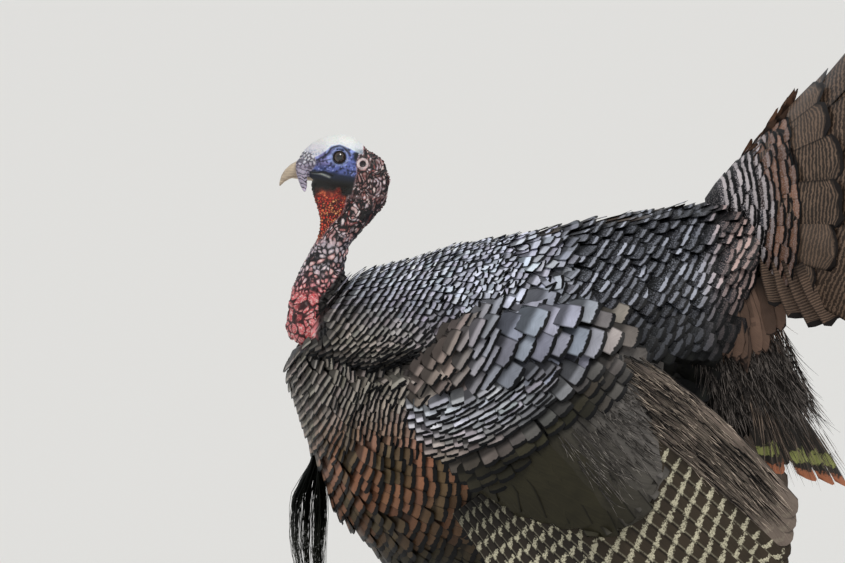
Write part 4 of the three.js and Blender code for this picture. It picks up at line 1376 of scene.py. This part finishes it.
# Over their roots short barred feathers run on from the rump, pinkish grey, then bronze.
shorts = []
for row, tip in enumerate(np.arange(0.050, 0.152, 0.0113)):
    angle = np.arange(-86, 86, np.degrees(0.0185 / tip)) + rng.uniform(0, 4)
    along, face = fan_frame(angle, **COVERTS_FRAME)
    place = TAIL_ROOT + along * (tip - 0.040) + face * (0.0195 - 0.0008 * row)
    shorts += [(*p, *a, *f, tip, turn, row) for p, a, f, turn in zip(place, along, face, angle)]
shorts = np.array(shorts)
count = len(shorts)
reach, turn, row = shorts[:, 9:].T
bronze = ease(0.104, 0.124, reach + rng.normal(0, 0.006, count))
tint = blend(bronze, rgb(44, 44, 49), rgb(112, 80, 62)) * rng.uniform(0.6, 1.6, (count, 1))
mark = np.column_stack([np.full(count, 0.90), np.zeros(count), 0.45 * (1 - bronze) + 0.2,
                        (1 - bronze) * rng.uniform(0.6, 1.0, count) + 0.1 * bronze])
root_material = plumage("tail_root_feathers", pale=(222, 212, 214), specks=True)
vanes("tail_root_feathers", shorts[:, :3], shorts[:, 3:6], shorts[:, 6:9],
      0.040 * rng.uniform(0.9, 1.12, count), 0.0185 * rng.uniform(1.2, 1.5, count), root_material,
      "saddle_feathers", lift=0.10, bend=0.10, roll=0.05 * rng.standard_normal(count), tint=tint, mark=mark,
      patch=np.stack([0.02 + 0.96 * row / 8, 0.5 + turn / 180], axis=1))

# Loose brown feathers stand off the fan's ridge, and longer ones hang below its sides.
vent_material = plumage("vent_plumes", gloss=0.6, metal=0.05, barbs=70.0, pale=(150, 154, 92),
                        root=(0.0, 0.3), line=(0.150, 0.075))
count = 12
ridge = np.linspace(0.060, 0.150, count) + rng.uniform(-0.006, 0.006, count)
angle = rng.uniform(-7, 7, count)
along, face = fan_frame(angle, **COVERTS_FRAME)
root = TAIL_ROOT + along * ridge[:, None] + face * 0.012
vanes("tail_ridge_feathers", root, along, face, rng.uniform(0.034, 0.052, count),
      rng.uniform(0.008, 0.014, count), root_material, "saddle_feathers", lift=rng.uniform(0.15, 0.45, count),
      bend=-0.25, roll=np.where(np.arange(count) % 2, 1.2, -1.2), taper=0.45, corner=0.25, ragged=0.07,
      tint=tints((88, 64, 50), count, 0.5, 1.3), edge=(60, 40, 30), mark=(0.97, 0, 0, 0),
      patch=np.stack([ridge * 6, 0.5 + angle / 60], axis=1))
count = 17
for side, sign in SIDES.items():
    share = (np.arange(count) + 0.5) / count
    root = np.column_stack([0.122 + 0.064 * share, sign * (0.084 - 0.024 * share), 0.604 + 0.034 * share])
    root += rng.normal(0, 0.002, (count, 3))
    along = np.column_stack([0.06 + 0.16 * share, sign * 0.02 * np.ones(count), -np.ones(count)])
    along += rng.normal(0, 0.035, (count, 3))
    vanes(f"tail_side_feathers_{side}", root, along, np.tile([-0.1, sign, 0.1], (count, 1)),
          rng.uniform(0.064, 0.092, count), rng.uniform(0.018, 0.026, count), vent_material,
          "saddle_feathers", lift=0.04, bend=0.10, camber=0.20, corner=0.35, ragged=0.04,
          tint=tints((98, 77, 65), count, 0.4, 1.3), edge=(36, 26, 22), mark=(0.965, 0, 0, 0),
          patch=np.stack([share, np.full(count, 0.5)], axis=1), cell=(0.06, 0.06))

# A few broad barred coverts hang from the fan's lower corners.
count = 4
for side, sign in SIDES.items():
    far = np.linspace(0.094, 0.150, count)
    share = np.linspace(0, 1, count)
    along, _ = fan_frame(np.full(count, OUTERMOST * sign), **TAIL_FRAME)
    root = TAIL_ROOT + along * far[:, None] + np.array([0, 0.010 * sign, 0.004])
    hang = np.column_stack([0.25 + 0.35 * share, np.full(count, 0.16 * sign), np.full(count, -0.9)])
    vanes(f"tail_corner_coverts_{side}", root, hang, np.tile([0.0, sign, 0.25], (count, 1)),
          np.array([0.074, 0.086, 0.090, 0.082]), np.array([0.036, 0.040, 0.040, 0.036]), tail_material,
          "saddle_feathers", lift=0.05, bend=0.2, camber=0.10, corner=0.06, ragged=0.03, waist=0.6,
          tint=tints((66, 52, 43), count, 0.8, 1.3), edge=(22, 17, 15), mark=(0.94, 1.2, 0.5, 0),
          patch=np.stack([0.1 + 0.8 * np.arange(count) / count, np.full(count, 0.5)], axis=1),
          cell=(0.18, 0.9))


# ---------------------------------------------------------------- plumes under the tail
# Soft dark plumes hang behind the vent. The longest have a green-bronze bar and a chestnut tip,
# and loose barbs hide their roots.
VENT_ROOT = np.array([0.184 + SHIFT, 0.0, 0.566])
angle = np.array([-32, -24, -16, -11, -7, -3.5, 0, 3.5, 7, 11, 16, 24, 32])
count = len(angle)
shown = np.arange(count) % 2 == 0
paths, faces = [], []
for turn, whole in zip(angle, shown):
    side_on = abs(turn) / 32
    tip = np.array([0.157 - 0.083 * side_on, 0.0028 * turn, 0.025 * side_on - 0.194])
    face = fan_frame(np.array([turn]), lift=-50 - 17 * side_on, spread=36, droop=28)[1]
    rise = 0.004 + 0.012 * np.sin(np.pi * LONG) + (0.003 if whole else -0.003)
    paths.append(VENT_ROOT + tip * (1.0 if whole else 0.90) * LONG[:, None] + face * rise[:, None])
    faces.append(np.repeat(face, len(LONG), axis=0))
path, face = np.array(paths), np.array(faces)
tint = rgb(44, 40, 36) * np.where(shown, rng.uniform(0.8, 1.2, count), 0.5)[:, None]
mark = np.where(shown[:, None], (0.945, 0, 0, 1), NO_BAND)
vent = quills("vent_plumes", path, np.where(shown, 0.036, 0.046), face, vent_material, "vent_feathers",
              curl=0.5, tip=0.45, waist=0.55, overlap=0.10, tint=tint, edge=rgb(166, 104, 74), mark=mark)
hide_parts("vent_coverts")

# Loose barbs of the plumes and of the down about their roots.
count = 900
pick = np.where(rng.random(count) < 0.35, rng.integers(0, 2, count) * (len(path) - 1),
                rng.integers(0, len(path), count))
near = rng.uniform(0.0, 0.72, count)
spread = rng.uniform(-1, 1, count)
station = np.minimum((near * (len(LONG) - 1)).astype(int), len(LONG) - 2)
at, up = path[pick, station], face[pick, station]
ahead = unit(path[pick, station + 1] - at)
beside = np.cross(up, ahead)
reach = rng.uniform(0.028, 0.056, count)
far = np.linspace(0, 1, 5)
fan_out = 0.35 * spread + 0.08 * rng.standard_normal(count)
turned = unit(ahead + beside * fan_out[:, None] + up * rng.uniform(0.0, 0.16, count)[:, None])
foot = at + beside * (0.017 * spread)[:, None]
barb = foot[:, None] + turned[:, None] * (reach[:, None] * far)[..., None]
barb[..., 2] -= 0.006 * far ** 2
barb += up[:, None] * rng.uniform(0.001, 0.013, count)[:, None, None]
strands("vent_barbs", barb, 0.0013, vent_material, "vent_feathers", face=up[:, None],
        tint=tints((136, 118, 104), count, 0.1, 1.0, power=2), mark=NO_BAND,
        patch=np.stack([pick / len(path), near], axis=1))

# Shorter plumes fill the side of the tuft out to the tail.
count = 22
for side, sign in SIDES.items():
    share = (np.arange(count) + 0.5) / count
    root = np.column_stack([0.125 + 0.060 * share, sign * (0.046 - 0.016 * share), 0.540 + 0.030 * share])
    root += rng.normal(0, 0.003, (count, 3))
    along = np.column_stack([0.30 + 0.20 * share, np.full(count, 0.06 * sign), np.full(count, -0.88)])
    along += rng.normal(0, 0.05, (count, 3))
    vanes(f"vent_side_plumes_{side}", root, along, np.tile([0.1, sign, 0.1], (count, 1)),
          rng.uniform(0.085, 0.120, count), rng.uniform(0.009, 0.016, count), vent_material, "vent_feathers",
          lift=0.06, bend=0.15, corner=0.3, ragged=0.09, tint=tints((46, 41, 37), count, 0.5, 1.3),
          mark=NO_BAND, patch=np.stack([share, np.full(count, 0.5)], axis=1), cell=(0.04, 0.04))

# Dark down closes the hollow between the flank and the plumes. Its nearly black tint is painted shade under
# the rump's overhang.
count = 34
for side, sign in SIDES.items():
    root = np.column_stack([rng.uniform(0.070, 0.128, count), sign * rng.uniform(0.012, 0.062, count),
                            rng.uniform(0.490, 0.560, count)])
    along = np.array([0.45, 0.02 * sign, -0.9]) + rng.normal(0, [0.16, 0.05, 0.16], (count, 3))
    vanes(f"vent_down_{side}", root, along, np.tile([0.1, sign, 0.0], (count, 1)),
          rng.uniform(0.065, 0.100, count), rng.uniform(0.018, 0.028, count), vent_material, "vent_feathers",
          lift=0.03, bend=0.1, corner=0.3, ragged=0.09, tint=tints((15, 14, 12), count, 0.5, 1.4),
          mark=NO_BAND, patch=rng.uniform(0.05, 0.95, (count, 2)))

# Its loose barbs are lighter.
count = 1100
for side, sign in SIDES.items():
    share, down = rng.random(count), rng.uniform(0.14, 1.0, count)
    root = np.column_stack([0.075 + 0.110 * share + 0.060 * down, sign * (0.086 - 0.026 * share),
                            0.615 - 0.150 * down + 0.015 * share])
    along = unit(np.column_stack([0.10 + 0.45 * share * down + rng.normal(0, 0.16, count),
                                  np.full(count, -0.04 * sign), rng.uniform(-1.0, -0.8, count)]))
    far = np.linspace(0, 1, 5)
    path = root[:, None] + along[:, None] * (rng.uniform(0.022, 0.048, count)[:, None] * far)[..., None]
    path[..., 0] += 0.006 * rng.standard_normal(count)[:, None] * far ** 2
    tint = blend(ease(0.45, 0.25, down), rgb(84, 78, 74), rgb(128, 94, 72))
    tint = tint * 2.6 * rng.uniform(0.1, 1.0, (count, 1)) ** 2
    strands(f"vent_down_barbs_{side}", path, 0.0012, vent_material, "vent_feathers",
            face=np.broadcast_to([0.0, sign, 0.0], path.shape), tint=tint, mark=NO_BAND,
            patch=np.stack([(root[:, 0] - 0.07) * 11, (root[:, 2] - 0.46) * 7], axis=1))

# Short dark coverts close the end of the rump under the tail.
ends = []
for z in np.arange(0.704, 0.580, -0.011):
    for y in np.arange(-0.045, 0.046, 0.009):
        start = Vector((0.30, y + rng.uniform(-0.003, 0.003), z))
        hit, normal = skin_tree.ray_cast(start, Vector((-1, 0, 0)))[:2]
        if hit is not None:
            ends.append((*hit, *normal))
place, face = np.hsplit(np.array(ends), 2)
count = len(place)
along = np.array([0.15, 0.0, -1.0]) + rng.normal(0, 0.10, (count, 3))
vanes("rump_end_feathers", place - face * 0.002, along, face, rng.uniform(0.028, 0.038, count),
      rng.uniform(0.013, 0.019, count), vent_material, "vent_feathers", lift=0.18, bend=0.2, corner=0.2,
      ragged=0.05, tint=tints((50, 44, 40), count, 0.4, 1.4), mark=(0.9, 0, 0, 0),
      patch=np.stack([0.5 + 8 * place[:, 1], (place[:, 2] - 0.57) * 6.5], axis=1))


# ---------------------------------------------------------------- beard
# A tuft of coarse horny bristles, thin as wire, that hangs from the middle of the breast. They
# are rooted close together under the feathers and spread a little on the way down.
beard_low, beard_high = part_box("beard")
beard_material = plumage("beard_bristles", gloss=0.35, metal=0.0)
count = 330
spot_x = rng.choice([-0.75, -0.15, 0.45, 0.8], count) + rng.normal(0, 0.14, count)
spot_y = rng.normal(0, 0.45, count)
far = np.linspace(0, 1, 9)[None, :]
reach = rng.uniform(0.78, 1.0, count)[:, None] * far
start_x, start_z = beard_low.x + 0.034, beard_high.z - 0.004
swing = np.interp(far, [0, 0.35, 0.7, 1.0], [0.0, -0.011, -0.014, -0.009])
fan_out = 0.18 + 0.82 * ease(0.0, 0.45, far) * (1 - 0.35 * ease(0.6, 1.0, far))
path = np.stack([
    start_x + swing + 0.021 * spot_x[:, None] * fan_out + 0.0015 * np.sin(9 * far + 40 * spot_y[:, None]),
    0.013 * spot_y[:, None] * fan_out + 0.001 * np.sin(8 * far + 30 * spot_x[:, None]),
    start_z - (beard_high.z - beard_low.z - 0.012) * reach], axis=-1)
beard = strands("beard_bristles", path, 0.0022, beard_material, "beard",
                face=np.broadcast_to([-1.0, 0, 0], path.shape), tint=tints((40, 42, 36), count, 0.2, 2.0),
                mark=NO_BAND, patch=rng.uniform(0.02, 0.98, (2, count)).T)
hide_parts("beard")


# ---------------------------------------------------------------- eyes
# A dark brown ball with a black pupil, wet and clear on the outside, set under each lid. Its
# front bulges a little, and its colours are rings about the ball's axis.
def colour_stops(add, value, stops):
    """The colour of a value from 0 to 1, from the colours at a few stops."""
    node = add("ValToRGB", {"Fac": value})
    marks = node.color_ramp.elements
    for mark, (position, colour) in zip((marks[0], marks[1]), (stops[0], stops[-1])):
        mark.position, mark.color = position, (*colour, 1)
    for position, colour in stops[1:-1]:
        marks.new(position).color = (*colour, 1)
    return node.outputs["Color"]


PUPIL, LID_EDGE = (0.004, 0.004, 0.005), (0.010, 0.007, 0.006)
RING_RADIUS = 0.0095
BULGE = 0.0007
eye_material, shader, add, feed = new_material("eyeball")
place = add("TexCoord").outputs["Object"]
middle = add("VectorMath", {0: place, 1: (eye_x, 0.0, eye_z)}, operation="SUBTRACT").outputs[0]
flat = add("VectorMath", {0: middle, 1: (1.0, 0.0, 1.0)}, operation="MULTIPLY").outputs[0]
distance = add("VectorMath", {0: flat}, operation="LENGTH").outputs["Value"]
rings = add("Math", {0: distance, 1: 1 / RING_RADIUS}, operation="MULTIPLY").outputs[0]
iris = colour_stops(add, rings, [(0.0, PUPIL), (0.34, PUPIL), (0.42, (0.045, 0.024, 0.014)),
                                 (0.70, (0.030, 0.017, 0.011)), (0.80, (0.008, 0.006, 0.006)),
                                 (1.0, LID_EDGE)])
feed(shader, {"Base Color": iris, "Roughness": 0.12, "Coat Weight": 1.0, "Coat Roughness": 0.03})
for side, sign in SIDES.items():
    low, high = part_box(f"eye_{side}")
    radius = (high.x - low.x) / 2
    bpy.ops.object.select_all(action="DESELECT")
    bpy.ops.mesh.primitive_uv_sphere_add(segments=48, ring_count=32, radius=radius, location=EYE[side],
                                         rotation=(np.pi / 2, 0, 0))
    bpy.ops.object.transform_apply(location=True, rotation=True, scale=True)
    ball = bpy.context.object
    ball.name = f"eyeball_{side}"
    co = places(ball)
    from_axis = np.hypot(co[:, 0] - eye_x, co[:, 2] - eye_z)
    outer = ease(0.006, 0.002, from_axis) * ((co[:, 1] - EYE[side].y) * sign > 0)
    co[:, 1] += sign * BULGE * outer
    put_places(ball, co)
    bpy.ops.object.shade_smooth()
    ball.data.materials.append(eye_material)
    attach(ball, "root")
    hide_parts(f"eye_{side}")


# ---------------------------------------------------------------- bill
# Two sheaths of pale horn over the bones of the jaws, the upper one hooked over the lower. Growth
# lines run along them, and each is melted from its own solid.
BILL_GRAIN = 0.0007
bill_material, shader, add, feed = new_material("horn_of_bill")
place = add("TexCoord").outputs["Object"]
stretch = add("Mapping", {"Vector": place, "Rotation": (0, np.radians(38), 0), "Scale": (90.0, 260.0, 520.0)})
lines = add("TexNoise", {"Vector": stretch.outputs["Vector"], "Scale": 1.0}).outputs["Fac"]
horn = colour_stops(add, lines, [(0.25, rgb(156, 138, 122)), (0.75, rgb(222, 204, 178))])
bump = add("Bump", {"Strength": 0.15, "Distance": 0.0004, "Height": lines}).outputs["Normal"]
feed(shader, {"Base Color": horn, "Roughness": 0.32, "Normal": bump})
for node in ("bill_upper", "bill_lower"):
    sheath = melted(node.replace("bill", "horn"), [node], BILL_GRAIN, 10)
    if node == "bill_lower":
        co = places(sheath)
        low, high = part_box(node)
        co[:, 2] = high.z + 0.0015 + (co[:, 2] - high.z) * 0.75
        co[:, 2] += 0.0022 * ease(high.x, low.x, co[:, 0])
        put_places(sheath, co)
    bpy.ops.object.shade_smooth()
    sheath.data.materials.append(bill_material)
    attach(sheath, "root")
    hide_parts(node)


# ---------------------------------------------------------------- thigh feathers
# Short soft brown feathers in rings down each thigh, from where it leaves the trunk to the top of
# the bare shank. They point down and a little to the rear.
thigh_tree = form_tree(["thigh_left"], 4)
low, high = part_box("thigh_left")
middle_y = (low.y + high.y) / 2
THIGH_ROW, THIGH_GAP, THIGH_LENGTH, THIGH_WIDTH = 0.0115, 0.014, 0.032, 0.017
found = []
for row, z in enumerate(np.arange(low.z + 0.004, high.z, THIGH_ROW)):
    front, back = (thigh_tree.ray_cast(Vector((x, middle_y, z + 0.001)), Vector((way, 0, 0)))[0]
                   for x, way in ((low.x - 0.1, 1), (high.x + 0.1, -1)))
    if front is None or back is None:
        continue
    around = max(9, int(2 * np.pi * (back.x - front.x) / 2 / THIGH_GAP))
    for k in range(around):
        turn = 2 * np.pi * (k + 0.5 * (row % 2)) / around
        hit, normal = thigh_tree.ray_cast(Vector(((front.x + back.x) / 2, middle_y, z)),
                                          Vector((np.cos(turn), np.sin(turn), 0)))[:2]
        if hit is None:
            continue
        if all(trunk_tree.ray_cast(hit, Vector((0, 0, way)))[0] is not None for way in (-1, 1)):
            continue
        normal = np.array(normal)
        flow = unit(np.array([0.35, 0, -1.0]) - normal * (normal @ np.array([0.35, 0, -1.0])))
        share = (z - low.z) / (high.z - low.z)
        found.append((*hit, *flow, *normal, turn / (2 * np.pi), share))
thigh = np.array(found)
for side, sign, flip in both_sides():
    count = len(thigh)
    length = THIGH_LENGTH * rng.uniform(0.85, 1.1, count)
    depth = 0.12 * length
    face = thigh[:, 6:9] * flip
    tint = tints((70, 58, 48), count, 0.8, 1.25)
    along = thigh[:, 3:6] * flip + 0.06 * rng.standard_normal((count, 3))
    vanes(f"thigh_feathers_{side}", thigh[:, :3] * flip - face * depth[:, None], along, face, length,
          THIGH_WIDTH, contour, "plumage", lift=0.16, bend=0.1, tint=tint, mark=(0.88, 0, 0, 0.4),
          patch=thigh[:, 9:] * 0.96 + 0.02)


# ---------------------------------------------------------------- claws and spurs
# A claw of dark horn at the end of each toe and a spur at the back of each shank, smooth and
# slightly worn at the points. Each is melted from its own solid.
CLAW_GRAIN = 0.0011
claw_material, shader, add, feed = new_material("horn_of_claws")
place = add("TexCoord").outputs["Object"]
wear = add("TexNoise", {"Vector": place, "Scale": 300.0}).outputs["Fac"]
feed(shader, {"Base Color": colour_stops(add, wear, [(0.0, rgb(38, 32, 30)), (1.0, rgb(92, 78, 68))]),
              "Roughness": 0.35})
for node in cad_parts:
    if node.startswith(("claw_", "spur_")):
        horn_piece = melted(f"horn_{node}", [node], CLAW_GRAIN, 3)
        bpy.ops.object.shade_smooth()
        horn_piece.data.materials.append(claw_material)
        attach(horn_piece, "root")
        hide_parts(node)
